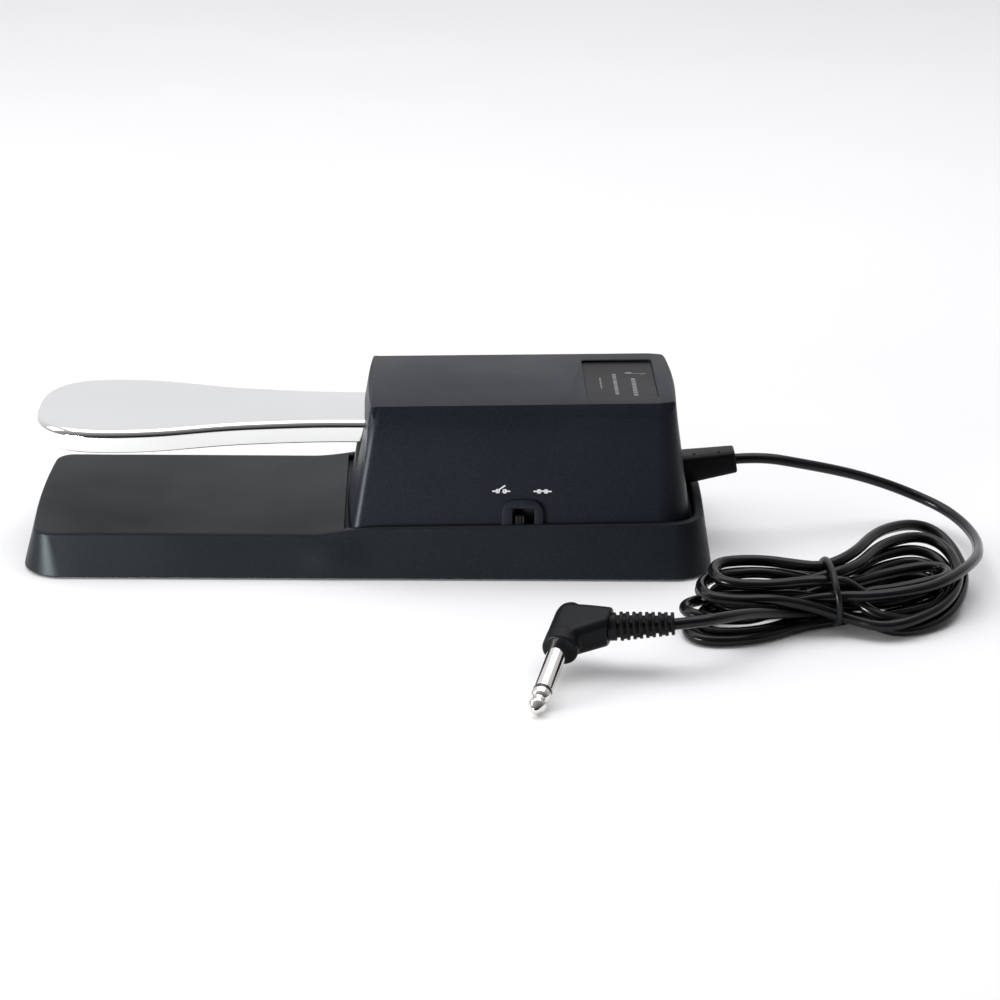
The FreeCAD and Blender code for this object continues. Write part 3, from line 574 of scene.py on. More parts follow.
@dataclass
class Studio:
    """Pale floor, soft lights and the camera."""

    eye: Point = (16.43, -972.14, 390.86)
    lens: float = 104.63
    yaw: float = -1.767
    tilt: float = 21.226
    roll: float = 0.944
    floor_reach: float = 6000.0
    floor_z: float = -0.05
    # The light falls off along this direction, by these stops of place and grey.
    lean: Point = (-0.15, 1.0, 0.5)
    stops: tuple[tuple[float, float], ...] = ((0.0, 0.02), (0.24, 0.02), (0.34, 0.16), (0.48, 0.34),
                                              (0.64, 0.62), (0.84, 1.0))
    strength: float = 0.9
    lamps: tuple[Lamp, ...] = (
        Lamp("top_box", (0.05, 0.25, 1.25), (0.03, 0.05, 0.0), (1.6, 1.0), 10.5),
        Lamp("left_box", (-1.1, 0.1, 0.7), (0.0, 0.0, 0.03), (0.5, 0.7), 2.4),
        Lamp("low_left", (-0.50, -0.48, 0.05), (-0.14, 0.0, 0.02), (0.3, 0.09), 8.5))

    def camera(self) -> None:
        """Place the camera."""
        data = bpy.data.cameras.new("camera")
        data.lens = self.lens
        data.sensor_width = 36.0
        camera = bpy.data.objects.new("camera", data)
        bpy.context.scene.collection.objects.link(camera)
        turn = (Matrix.Rotation(math.radians(self.yaw), 4, "Z")
                @ Matrix.Rotation(math.radians(90 - self.tilt), 4, "X")
                @ Matrix.Rotation(math.radians(self.roll), 4, "Z"))
        camera.matrix_world = Matrix.Translation(Vector(self.eye) * MM) @ turn
        bpy.context.scene.camera = camera

    def floor(self) -> None:
        """Lay the floor."""
        shape = Shape()
        size = self.floor_reach
        corners = ((-size, -size), (size, -size), (size, size), (-size, size))
        shape.loft([[(x, y, self.floor_z) for x, y in corners]], cap_start=False)
        floor = shape.build("floor", "paper")

    def surroundings(self) -> None:
        """A studio that is bright overhead and behind the pedal and dark on the near side."""
        world = bpy.data.worlds.new("surroundings")
        world.use_nodes = True
        tree = world.node_tree
        place = tree.nodes.new("ShaderNodeTexCoord").outputs["Generated"]
        lean = tree.nodes.new("ShaderNodeVectorMath")
        lean.operation = "DOT_PRODUCT"
        lean.inputs[1].default_value = self.lean
        tree.links.new(place, lean.inputs[0])
        ramp = tree.nodes.new("ShaderNodeValToRGB")
        while len(ramp.color_ramp.elements) < len(self.stops):
            ramp.color_ramp.elements.new(0.5)
        for element, (where, grey) in zip(ramp.color_ramp.elements, self.stops):
            element.position = where
            element.color = (grey, grey, grey * 1.03, 1.0)
        spread = tree.nodes.new("ShaderNodeMapRange")
        spread.inputs["From Min"].default_value = -1.5
        spread.inputs["From Max"].default_value = 1.5
        tree.links.new(lean.outputs["Value"], spread.inputs["Value"])
        tree.links.new(spread.outputs["Result"], ramp.inputs["Fac"])
        tree.links.new(ramp.outputs["Color"], tree.nodes["Background"].inputs["Color"])
        tree.nodes["Background"].inputs["Strength"].default_value = self.strength
        bpy.context.scene.world = world

    def build(self) -> None:
        """Set up camera, floor, lights and surroundings."""
        self.camera()
        self.floor()
        for lamp in self.lamps:
            lamp.hang()
        self.surroundings()
        bpy.context.scene.view_settings.view_transform = "Standard"


# ---- lead, hank and plug ----------------------------------------------------
@dataclass
class Lead:
    """The whole lead as one line: out of the housing, through the tied hank, to the plug."""

    radius: float = 1.9
    start: tuple[Point, ...] = (
        (130.3, 0, 29.4), (139.6, 0, 30.2), (154.0, 2.3, 27.0), (172.0, 8.6, 21.3), (186.0, 13.0, 15.7),
        (198.0, 13.0, 11.0), (207.8, 7.0, 8.1), (212.6, -3.5, 7.2), (214.6, -15.5, 7.2), (214.0, -30.0, 8.6),
        (210.4, -47.5, 11.2), (203.5, -62.5, 13.4), (196.0, -73.0, 13.6), (188.0, -79.6, 13.2),
        (177.0, -84.5, 12.5), (166.0, -86.3, 11.2))
    end: tuple[Point, ...] = (
        (145.0, -87.0, 7.0), (134.5, -95.0, 11.0), (124.5, -104.0, 14.2), (116.0, -112.0, 16.2),
        (107.6, -116.9, 16.9), (99.7, -117.0, 16.05))
    waist: tuple[float, float] = (154.5, -74.0)
    waist_azimuth: float = 20.0
    last_slot: tuple[float, float] = (-8.2, 3.2)
    strand_gap: float = 4.1
    rounds: int = 160
    press: float = 0.22
    largest_step: float = 0.9
    stiffness: float = 0.25
    recall: float = 0.01
    neighbours: float = 2.2

    # A right lobe as shares of its length, of its reach to the back (+) or front (-), and of its fall.
    RIGHT = ((0.24, 0.34, 0.0), (0.45, 0.64, 0.0), (0.65, 0.87, 0.03), (0.83, 0.99, 0.1), (0.97, 0.96, 0.22),
             (1.06, 0.78, 0.4), (1.08, 0.48, 0.58), (1.0, 0.16, 0.74), (0.87, -0.22, 0.88),
             (0.71, -0.6, 0.97), (0.54, -0.88, 1.0), (0.37, -0.96, 1.0), (0.18, -0.78, 1.0))
    # A left lobe, from its front to its back.
    LEFT = ((0.22, -0.78), (0.48, -1.0), (0.74, -1.0), (0.93, -0.71), (1.0, 0.0), (0.93, 0.71), (0.74, 1.0),
            (0.48, 0.98), (0.22, 0.74))
    # Each turn: place in the tie on the way left; left lobe's length, back, front, droop and height;
    # place in the tie on the way right; right lobe's length, back, front, height behind and in front.
    TURNS = (
        ((-9.4, 9.4), (39.5, 10.5, -10.0, -6.0, 5.6), (4.4, 6.6), (40.5, 30.0, -10.0, 8.0, 5.4)),
        ((-5.2, 6.6), (42.0, 11.0, -10.0, -5.0, 9.4), (6.6, 10.4), (42.0, 33.5, -12.0, 11.3, 4.4)),
        ((-6.4, 2.6), (48.0, 9.5, -12.5, -14.0, 2.1), (6.4, 2.8), (39.5, 22.0, -8.0, 3.0, 6.0)),
        ((-6.8, 12.4), (40.0, 11.5, -10.0, -4.0, 13.4), (2.2, 14.8), (45.0, 44.5, -16.5, 17.5, 2.1)),
        ((-1.8, 2.6), (45.5, 10.0, -10.5, -12.5, 2.4), (-0.6, 6.6), (40.0, 26.5, -14.0, 5.0, 3.0)),
        ((-2.2, 10.6), (49.0, 10.0, -10.5, -8.0, 5.2), (-2.4, 14.8), (43.5, 37.5, -15.0, 14.5, 3.6)),
        ((-9.6, 5.2), (43.5, 12.5, -11.0, -9.0, 12.5), (2.2, 10.6), (41.0, 18.0, -6.0, 8.4, 8.0)),
    )

    def slot(self, place: tuple[float, float]) -> Point:
        """A point in the tie from its offset across the bundle and its height."""
        angle = math.radians(self.waist_azimuth)
        across, z = place
        return (self.waist[0] - across * math.sin(angle), self.waist[1] + across * math.cos(angle), z)

    def from_slot(self, slot: Point, point: Point, share: float) -> Point:
        """A lobe's point, drawn towards the place in the tie it comes from or runs to."""
        weight = blend_step(share, 0.0, 0.42)
        y, z = (near + (far - near) * weight for near, far in zip(slot[1:], point[1:]))
        return (point[0], y, max(self.radius + 0.05, z))

    def lobe_right(self, slots: tuple[Point, Point], length: float, back: float, front: float, high: float,
                   low: float) -> list[Point]:
        """One loop on the hank's right, from its back to its front."""
        points = []
        for i, (x, y, fall) in enumerate(self.RIGHT):
            point = (self.waist[0] + x * length, self.waist[1] + (y * back if y > 0 else -y * front),
                     high + (low - high) * fall)
            points.append(self.from_slot(slots[i > len(self.RIGHT) // 2], point, x))
        return points

    def lobe_left(self, slots: tuple[Point, Point], length: float, back: float, front: float, droop: float,
                  z: float) -> list[Point]:
        """One loop on the hank's left, from its front to its back."""
        points = []
        for i, (x, y) in enumerate(self.LEFT):
            point = (self.waist[0] - x * length,
                     self.waist[1] + droop * x + (y * back if y > 0 else -y * front), z)
            points.append(self.from_slot(slots[i > len(self.LEFT) // 2], point, x))
        return points

    def route(self) -> np.ndarray:
        """The lead's points from the housing to the plug, with the hank's strands lying side by side."""
        points = list(self.start)
        entries = [self.slot(turn[0]) for turn in self.TURNS] + [self.slot(self.last_slot)]
        for (_, left, way_right, right), entry, following in zip(self.TURNS, entries, entries[1:]):
            returning = self.slot(way_right)
            points += [entry, *self.lobe_left((entry, returning), *left)]
            points += [returning, *self.lobe_right((returning, following), *right)]
        points += [entries[-1], *self.end]
        return self.lay_side_by_side(np.array(points, float))

    def lay_side_by_side(self, points: np.ndarray) -> np.ndarray:
        """Press strands that cross or share a place apart, as the real lead's thickness does.

        Args:
            points: The designed points.

        Returns:
            The points after the strands have pushed each other aside and onto the floor.
        """
        count = len(points)
        free = np.zeros((count, 1), bool)
        free[len(self.start) - 2:count - len(self.end) + 2] = True
        home = points.copy()
        order = np.arange(count - 1)
        home_bend = np.zeros_like(home)
        home_bend[1:-1] = (home[:-2] + home[2:]) / 2 - home[1:-1]
        for _ in range(self.rounds):
            starts = points[:-1]
            runs = points[1:] - starts
            lengths = (runs ** 2).sum(1)
            push = np.zeros_like(points)
            for share in (0.0, 0.33, 0.67):
                probes = starts + share * runs
                offset = probes[:, None, :] - starts[None]
                along = np.clip((offset * runs[None]).sum(2) / lengths[None], 0, 1)
                apart = probes[:, None, :] - (starts[None] + along[..., None] * runs[None])
                distance = np.linalg.norm(apart, axis=2)
                strangers = np.abs((order + share)[:, None] - (order[None] + along)) > self.neighbours
                overlap = np.where((distance < self.strand_gap) & strangers,
                                   (self.strand_gap - distance) / np.maximum(distance, 0.05), 0.0)
                force = overlap[..., None] * apart * self.press
                given = force.sum(1)
                push[:-1] += given * (1 - share)
                push[1:] += given * share
                push[:-1] -= (force * (1 - along)[..., None]).sum(0)
                push[1:] -= (force * along[..., None]).sum(0)
            size = np.linalg.norm(push, axis=1, keepdims=True)
            push *= np.minimum(1.0, self.largest_step / np.maximum(size, 1e-9))
            bend = np.zeros_like(points)
            bend[1:-1] = (points[:-2] + points[2:]) / 2 - points[1:-1]
            move = push + self.stiffness * (bend - home_bend) + self.recall * (home - points)
            points = np.where(free, points + move, points)
            points[:, 2] = np.maximum(points[:, 2], self.radius + 0.05)
        return points

    def build(self) -> tuple[bpy.types.Object, np.ndarray]:
        """Make the lead's curve.

        Returns:
            The curve object and its points.
        """
        points = self.route()
        data = bpy.data.curves.new("lead_line", "CURVE")
        data.dimensions = "3D"
        data.resolution_u = 10
        data.bevel_depth = self.radius * MM
        data.bevel_resolution = 7
        data.use_fill_caps = True
        spline = data.splines.new("NURBS")
        spline.points.add(len(points) - 1)
        for target, point in zip(spline.points, points):
            target.co = (*(point * MM), 1.0)
        spline.order_u = 3
        spline.use_endpoint_u = True
        data.materials.append(FINISHES.get("cord"))
        piece = bpy.data.objects.new("lead_line", data)
        bpy.context.scene.collection.objects.link(piece)
        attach(piece, Body.BASE.value)
        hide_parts("cord_lead", "cord_hank", "cord_tail")
        return piece, points


@dataclass
class Tie:
    """Coated wire ring round the hank's waist."""

    lead: Lead
    wire: float = 1.1
    azimuth: float = 8.0
    count: int = 24
    squareness: float = 0.86
    sway: float = 0.8

    def build(self, points: np.ndarray) -> bpy.types.Object:
        """Make the ring from the width and height of the strands it holds.

        Args:
            points: The lead's points.

        Returns:
            The ring.
        """
        angle = math.radians(self.azimuth)
        across = Vector((-math.sin(angle), math.cos(angle), 0.0))
        along = Vector((math.cos(angle), math.sin(angle), 0.0))
        origin = Vector((*self.lead.waist, 0.0))
        held = [Vector(p) - origin for p in points]
        held = [(p.dot(across), p.z) for p in held if abs(p.dot(along)) < 4.0]
        skin = self.lead.radius + self.wire + 0.1
        left, right = min(p[0] for p in held) - skin, max(p[0] for p in held) + skin
        low, high = min(p[1] for p in held) - skin, max(p[1] for p in held) + skin
        low = max(low, self.wire + 0.05)
        middle = origin + across * ((left + right) / 2) + UP * ((low + high) / 2)
        data = bpy.data.curves.new("tie_ring", "CURVE")
        data.dimensions = "3D"
        data.bevel_depth = self.wire * MM
        data.bevel_resolution = 5
        data.resolution_u = 8
        spline = data.splines.new("NURBS")
        spline.points.add(self.count - 1)
        for i, target in enumerate(spline.points):
            turn = 2 * math.pi * i / self.count
            wide = math.copysign(abs(math.cos(turn)) ** self.squareness, math.cos(turn)) * (right - left) / 2
            tall = math.copysign(abs(math.sin(turn)) ** self.squareness, math.sin(turn)) * (high - low) / 2
            point = middle + across * wide + UP * tall + along * (self.sway * math.sin(turn * 2))
            target.co = (*(point * MM), 1.0)
        spline.order_u = 4
        spline.use_cyclic_u = True
        data.materials.append(FINISHES.get("tie"))
        piece = bpy.data.objects.new("tie_ring", data)
        bpy.context.scene.collection.objects.link(piece)
        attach(piece, Body.BASE.value)
        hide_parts("hank_tie")
        LOG.info("tie %.1f wide, z %.1f to %.1f", right - left, low, high)
        return piece


@dataclass
class JackPlug:
    """Right-angle jack plug with its moulded body, ribbed relief and nickel contacts."""

    tip: Point = (53.5, -154.0, 2.05)
    pin_azimuth: float = -106.3
    pin_pitch: float = -15.5
    lead_azimuth: float = -4.0
    lead_rise: float = 5.0
    boss: float = 12.0
    sleeve: float = 20.0
    ring: float = 1.2
    nose: float = 9.3
    collar: float = 13.6
    relief: float = 20.9
    ribs: int = 9
    neck_offset: float = -3.4
    melt: float = 0.26

    def __post_init__(self) -> None:
        """Work out the plug's axes."""
        self.pin = directed(self.pin_azimuth, self.pin_pitch)
        self.way = directed(self.lead_azimuth, self.lead_rise)
        self.neck = UP.cross(self.pin).normalized()
        self.centre = Vector(self.tip) - self.pin * (self.boss + self.sleeve + self.ring + self.nose)

    def body(self) -> bpy.types.Object:
        """The moulded body: domed head, boss, and a neck that tapers to the relief, run together."""
        head = ((-10.9, 0.8), (-10.6, 2.2), (-9.6, 3.6), (-8.0, 4.6), (-5.5, 5.1), (6.0, 5.3), (10.2, 5.4),
                (11.0, 5.0))
        piece = turned("plug_moulding", "plug", [(0.3 + z, r) for z, r in head], self.centre, self.pin)
        boss = turned("cutter", "plug", [(6.0, 5.9), (11.0, 5.9), (11.6, 5.4)],
                      self.centre + self.neck * 0.5, self.pin)
        neck = Shape()
        rows = []
        for n, back, front, thick in ((0.0, -8.8, 9.8, 5.2), (4.0, -9.0, 9.2, 5.5), (7.5, -9.1, 6.6, 5.6),
                                      (11.0, -9.1, 4.0, 5.7), (13.2, -9.1, 2.4, 5.7), (13.8, -8.6, 1.9, 5.2)):
            reach, middle = (front - back) / 2, (front + back) / 2
            outline = rounded_rectangle(reach, thick, min(reach, thick) * 0.72, 6)
            rows.append(placed([(x, y, n) for y, x in outline], self.centre + self.pin * middle,
                               self.pin.cross(self.neck), self.neck))
        neck.loft(rows)
        carve(piece, [boss, neck.build("cutter", "plug")], operation="UNION")
        melt = piece.modifiers.new("melt", "REMESH")
        melt.mode = "VOXEL"
        melt.voxel_size = self.melt * MM
        smooth = piece.modifiers.new("smooth", "SMOOTH")
        smooth.factor = 0.5
        smooth.iterations = 5
        settle_modifiers(piece, 60.0)
        return piece

    def relief_sleeve(self) -> bpy.types.Object:
        """The flexible relief: a core, rings all round and bridges between them."""
        start = self.centre + self.neck * self.collar + self.pin * self.neck_offset
        pitch = (self.relief - 2.4) / self.ribs
        shape = Shape()
        core = [(-0.8, 3.9), (self.relief - 0.4, 2.6), (self.relief, 2.4)]
        ring = [(-0.6, 4.5), (1.9, 4.6), (2.2, 4.4), (2.25, 3.6)]
        for profile in (core, ring):
            shape.loft([placed([(x, y, along) for x, y in circle(radius, 32)], start, UP, self.way)
                        for along, radius in profile])
        for i in range(self.ribs):
            radius = 4.75 - 1.0 * i / (self.ribs - 1)
            low, high = 2.4 + pitch * (i + 0.42), 2.4 + pitch * (i + 1.0) - 0.05
            profile = ((low, radius - 0.9), (low, radius - 0.18), (low + 0.18, radius), (high - 0.18, radius),
                       (high, radius - 0.18), (high, radius - 0.9))
            shape.loft([placed([(x, y, along) for x, y in circle(r, 36)], start, UP, self.way)
                        for along, r in profile])
            for side in (0, 1):
                turn = math.radians(35.0) + math.pi / 2 * (i % 2) + math.pi * side
                dx, dy = math.cos(turn), math.sin(turn)
                rows = []
                for along in (low - pitch * 0.5, low + 0.2):
                    rows.append(placed([(dx * r - dy * w, dy * r + dx * w, along)
                                        for r, w in ((2.0, -1.3), (radius - 0.55, -1.3), (radius - 0.55, 1.3),
                                                     (2.0, 1.3))], start, UP, self.way))
                shape.loft(rows)
        return shape.build("plug_relief_sleeve", "relief")

    def contacts(self) -> list[bpy.types.Object]:
        """Sleeve, insulating ring and tip."""
        shoulder = self.centre + self.pin * self.boss
        tip_start = self.sleeve + self.ring
        barrel = [(-0.4, 3.175), (self.sleeve - 0.15, 3.175), (self.sleeve, 3.03)]
        sleeve = turned("jack_sleeve", "nickel", barrel, shoulder, self.pin, 56)
        band = [(self.sleeve - 0.1, 3.12), (tip_start + 0.1, 3.12)]
        ring = turned("jack_ring", "ring", band, shoulder, self.pin, 56)
        nose = ((0.0, 3.03), (0.15, 3.175), (1.9, 3.175), (2.6, 2.85), (3.3, 2.32), (4.0, 2.22), (4.6, 2.34),
                (5.2, 2.72), (5.7, 2.93), (6.2, 2.9), (7.0, 2.5), (8.0, 1.85), (8.8, 1.2), (9.2, 0.65),
                (9.3, 0.2))
        tip = turned("jack_tip", "nickel", [(tip_start + z, r) for z, r in nose], shoulder, self.pin, 56)
        return [sleeve, ring, tip]

    def build(self) -> list[bpy.types.Object]:
        """Make and place every piece of the plug."""
        pieces = [self.body(), self.relief_sleeve(), *self.contacts()]
        stands = (("plug_moulding", "plug_body"), ("relief_rubber", "plug_strain_relief"),
                  ("plug_nickel", "plug_sleeve"), ("plug_ring", "plug_insulator"),
                  ("plug_nickel", "plug_tip"))
        for piece, (slot, node) in zip(pieces, stands):
            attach(piece, Body.BASE.value)
            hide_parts(node)
        return pieces


@dataclass
class HousingRelief:
    """The tapered relief in the rear wall, flattened, with two small dimples on top."""

    start: Point = (108.0, 0.0, 25.7)
    rise: float = 9.5
    length: float = 22.6

    def build(self) -> bpy.types.Object:
        """Make the sleeve and press the dimples into it."""
        origin, way = Vector(self.start), directed(0.0, self.rise)
        side = Vector((0.0, 1.0, 0.0))
        rows = []
        for along, wide, high, corner in ((-0.6, 5.9, 5.6, 2.6), (3.5, 5.7, 5.3, 2.4), (12.0, 5.2, 4.75, 2.2),
                                          (self.length - 0.5, 4.65, 4.15, 2.0), (self.length, 4.3, 3.8, 1.8)):
            rows.append(placed([(x, y, along) for x, y in rounded_rectangle(wide, high, corner, 6)],
                               origin, side, way))
        shape = Shape()
        shape.loft(rows)
        piece = shape.build("housing_relief_sleeve", "relief")
        across_up = way.cross(side)
        up_way = across_up if across_up.z > 0 else across_up * -1
        dimples = []
        for along in (8.2, 17.0):
            foot = origin + way * along + side * -2.4 + up_way * 2.9
            taper = [(0.0, 0.5), (1.2, 0.62), (3.0, 0.7)]
            dimples.append(turned("cutter", "relief", taper, foot, up_way, 16))
        carve(piece, dimples)
        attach(piece, Body.BASE.value)
        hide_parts("cord_strain_relief")
        return piece


# ---- base -------------------------------------------------------------------
@dataclass
class Base:
    """The long drafted base: platform, ramp, rim and pocket."""

    bottom: tuple[float, float, float] = (-121.0, 121.0, 43.9)
    top: tuple[float, float, float] = (-117.5, 117.8, 39.8)
    bottom_corners: tuple[float, float] = (14.0, 14.0)
    top_corners: tuple[float, float] = (6.5, 11.5)
    crown: float = 1.8
    floor_gap: float = 0.6
    platform: float = 15.2
    rim_at_middle: float = 17.94
    rim_slope: float = 0.019
    ramp: tuple[float, float] = (-22.0, 4.0)
    pocket_from: float = -8.7
    deck: float = 14.5
    edge: float = 0.85
    rim_width: float = 3.4
    swell: float = 0.8
    swell_at: float = -12.0
    swell_reach: float = 9.0

    def top_at(self, x: float) -> float:
        """Height of the platform, ramp or rim at x."""
        rim = self.rim_at_middle + self.rim_slope * x
        return self.platform + (rim - self.platform) * blend_step(x, *self.ramp)

    def stations(self) -> list[float]:
        """Where the straight sides have points."""
        ramp = [-26.0 + 1.0 * i for i in range(18)] + [-8.68, -8.62] + [-7.5 + 1.5 * i for i in range(9)]
        return [-96.0, -70.0, -45.0, -32.0] + ramp + [20.0, 45.0, 70.0, 92.0]

    def plan(self, share: float, inset: float) -> Plan:
        """The outline at a share of the wall's height, set in by inset."""
        mix = [low + (high - low) * share for low, high in zip(self.bottom, self.top)]
        corners = [max(low + (high - low) * share - inset, 1.2)
                   for low, high in zip(self.bottom_corners, self.top_corners)]
        return mirrored(half_plan(mix[0] + inset, mix[1] - inset, mix[2] - inset, *corners, self.crown,
                                  self.stations()))

    def wall_row(self, share: float) -> list[Point]:
        """A row of points round the wall, which swells a little beside the ramp."""
        row = []
        for x, y in self.plan(share, 0.0):
            beside = math.exp(-((x - self.swell_at) / self.swell_reach) ** 2)
            swell = self.swell * beside * math.sin(math.pi * share)
            z = self.floor_gap + (self.top_at(x) - self.edge - self.floor_gap) * share
            row.append((x, y + math.copysign(swell, y) if abs(y) > 30 else y, z))
        return row

    def pocket_height(self, x: float, below: float) -> float:
        """Height inside the rim: the deck in the pocket, and the platform in front of it."""
        top = self.top_at(x)
        return max(top - below, self.deck) if x > self.pocket_from + 0.05 else top

    def build(self) -> bpy.types.Object:
        """Make the shell from its rows."""
        rows = [[(x, y, 12.0) for x, y in self.plan(0.0, 6.0)],
                [(x, y, self.floor_gap) for x, y in self.plan(0.0, 2.3)],
                [(x, y, self.floor_gap) for x, y in self.plan(0.0, 0.4)]]
        rows += [self.wall_row(share) for share in (0.03, 0.15, 0.3, 0.45, 0.6, 0.75, 0.9, 1.0)]
        for turn in (25, 50, 70, 90):
            angle = math.radians(turn)
            inset = self.edge * (1 - math.cos(angle))
            rows.append([(x, y, self.top_at(x) - self.edge * (1 - math.sin(angle)))
                         for x, y in self.plan(1.0, inset)])
        for inset, below in ((2.4, 0.0), (2.9, 0.12), (3.2, 0.45), (self.rim_width, 1.0),
                             (self.rim_width + 0.05, 10.0)):
            rows.append([(x, y, self.pocket_height(x, below)) for x, y in self.plan(1.0, inset)])
        shape = Shape()
        made = shape.skin(rows)
        shape.across(made[0])
        shape.across(made[-1])
        piece = shape.build("base_moulding", "shell_base", 34.0)
        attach(piece, Body.BASE.value)
        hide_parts("base_shell")
        return piece


# ---- housing ----------------------------------------------------------------
@dataclass
class Housing:
    """The tall rear cover with its slot, label recess and printed marks."""

    toe: float = -7.9
    toe_draft: float = 0.163
    heel: float = 113.5
    heel_draft: float = 0.152
    half: float = 37.9
    side_draft: float = 0.1835
    corners: tuple[float, float] = (3.2, 13.0)
    corner_taper: float = 0.155
    crown: float = 1.6
    deck: float = 14.5
    roof_front: float = 58.0
    roof_slope: float = 0.0183
    chamfer_fall: float = 3.5
    chamfer_reach: float = 2.0
    wall: float = 2.5
    slot: tuple[float, float, float] = (19.0, 31.3, 50.4)
    label: tuple[float, float, float, float] = (75.5, 100.5, 20.5, 1.0)
    label_sink: float = 0.86
    knob_opening: tuple[float, float, float, float] = (49.7, 57.3, 17.6, 24.4)
    knob_size: tuple[float, float, float, float] = (50.6, 53.9, 18.8, 21.9)
    guard_size: tuple[float, float, float, float] = (46.0, 60.4, 17.0, 27.3)
    guard_corner: float = 4.8

    def roof(self, x: float) -> float:
        """Height of the roof at x."""
        return self.roof_front + self.roof_slope * x

    def plan(self, z: float, inset: float) -> Plan:
        """The outline at a height, set in by inset."""
        rise = z - self.deck
        stations = [4.0 + 8.0 * i for i in range(11)]
        toe, heel = self.toe + self.toe_draft * rise + inset, self.heel - self.heel_draft * rise - inset
        toe_corner = max(self.corners[0] - inset, 0.8)
        heel_corner = self.corners[1] - self.corner_taper * rise - inset
        half = self.half - self.side_draft * rise - inset
        return mirrored(half_plan(toe, heel, half, toe_corner, heel_corner, self.crown, stations))

    def roof_rows(self, inset: float, depth: float) -> list[list[Point]]:
        """The rows at the chamfer's lower and upper edges, which fade towards the end walls."""
        outline = self.plan(self.roof(60.0) - 2.0, inset)
        low, high = [], []
        for i, (x, y) in enumerate(outline):
            normal = outward(outline, i, 50.0)
            share = blend_step(abs(normal.y), 0.25, 0.95)
            fall = 0.8 + self.chamfer_fall * share
            reach = 0.15 + self.chamfer_reach * share
            top = self.roof(x) - depth
            low.append((x, y, top - fall))
            shift = reach + 0.18 * (self.roof(x) - self.roof(60.0) + 2.0)
            high.append((x - normal.x * shift, y - normal.y * shift, top))
        return [low, high]

    def block(self, inset: float, depth: float, bottom: float, name: str) -> bpy.types.Object:
        """The closed outer form, or the same form set in."""
        rows = [[(x, y, z) for x, y in self.plan(z, inset)] for z in (bottom, 20.0, 28.0, 36.0, 44.0, 50.0)]
        rows += self.roof_rows(inset, depth)
        shape = Shape()
        made = shape.skin(rows)
        shape.across(made[0])
        shape.across(made[-1])
        return shape.build(name, "shell")

    def lever_slot(self) -> bpy.types.Object:
        """The rounded slot through the front wall, for cutting."""
        half, low, high = self.slot
        middle = (low + high) / 2
        shape = Shape()
        outline = rounded_rectangle(half, (high - low) / 2, 2.4)
        shape.loft([[(x, y, middle + z) for y, z in outline] for x in (-16.0, 6.0)])
        return shape.build("cutter", "shell")

    def label_recess(self) -> bpy.types.Object:
        """The shallow rounded recess in the roof, for cutting."""
        x0, x1, half, depth = self.label
        outline = rounded_rectangle((x1 - x0) / 2, half, 1.2)
        shape = Shape()
        rows = []
        for lift, grow in ((-depth, 1.0), (-0.25, 1.0), (0.05, 1.018), (3.0, 1.1)):
            rows.append([((x0 + x1) / 2 + x * grow, y * grow, self.roof((x0 + x1) / 2 + x) + lift)
                         for x, y in outline])
        shape.loft(rows)
        return shape.build("cutter", "shell")

    def knob_cutter(self, bottom: float) -> bpy.types.Object:
        """The knob's opening through the side wall, for cutting."""
        x0, x1, _, top = self.knob_opening
        return standing_block([(x0, -46.0), (x1, -46.0), (x1, -30.0), (x0, -30.0)], bottom, top)

    def cover(self) -> bpy.types.Object:
        """The cover itself."""
        piece = self.block(0.0, 0.0, self.deck, "housing_moulding")
        soften(piece, 0.6, 4, 28.0, 16.0)
        inner = self.block(self.wall, self.wall, self.deck - 2.0, "cutter")
        knob = self.knob_cutter(self.knob_opening[2])
        relief = HousingRelief()
        hole = turned("cutter", "shell", [(-4.0, 5.3), (14.0, 5.3)], Vector(relief.start),
                      directed(0.0, relief.rise))
        carve(piece, [inner, self.lever_slot(), self.label_recess(), knob, hole])
        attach(piece, Body.BASE.value)
        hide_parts("top_housing")
        return piece

    def label_print(self) -> bpy.types.Object:
        """An eighth note and rows of short plain strokes printed on the label."""
        x0 = self.label[0]
        shape = Shape()

        def patch(corners: Plan) -> None:
            sink = self.label_sink
            shape.loft([[(a, b, self.roof(a) - sink + lift) for a, b in corners] for lift in (-0.05, 0.03)])

        for offset, start, thick, strokes in ((16.6, 2.0, 1.5, (2.4, 1.6, 2.8, 2.0, 2.6, 1.8, 2.2)),
                                              (10.2, 7.0, 1.3, (1.8, 2.6, 1.4, 3.4, 2.2, 3.0, 1.6, 2.4)),
                                              (5.4, 3.0, 0.6, (2.0, 1.4, 2.4, 1.8, 1.6))):
            y, x = start, x0 + offset
            for length in strokes:
                patch([(x, y - length), (x + thick, y - length), (x + thick, y), (x, y)])
                y -= length + 0.55
        x, y = x0 + 17.0, 8.0
        turns = [2 * math.pi * i / 14 for i in range(14)]
        patch([(x - 0.9 + 1.3 * math.cos(a), y + 0.95 * math.sin(a)) for a in turns])
        patch([(x - 0.9, y - 0.95), (x - 0.9, y - 0.6), (x + 5.4, y - 0.6), (x + 5.4, y - 0.95)])
        patch([(x + 5.4, y - 0.6), (x + 5.4, y - 0.95), (x + 3.0, y - 2.6), (x + 3.2, y - 2.1)])
        piece = shape.build("label_lines", "label_ink")
        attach(piece, Body.BASE.value)
        return piece

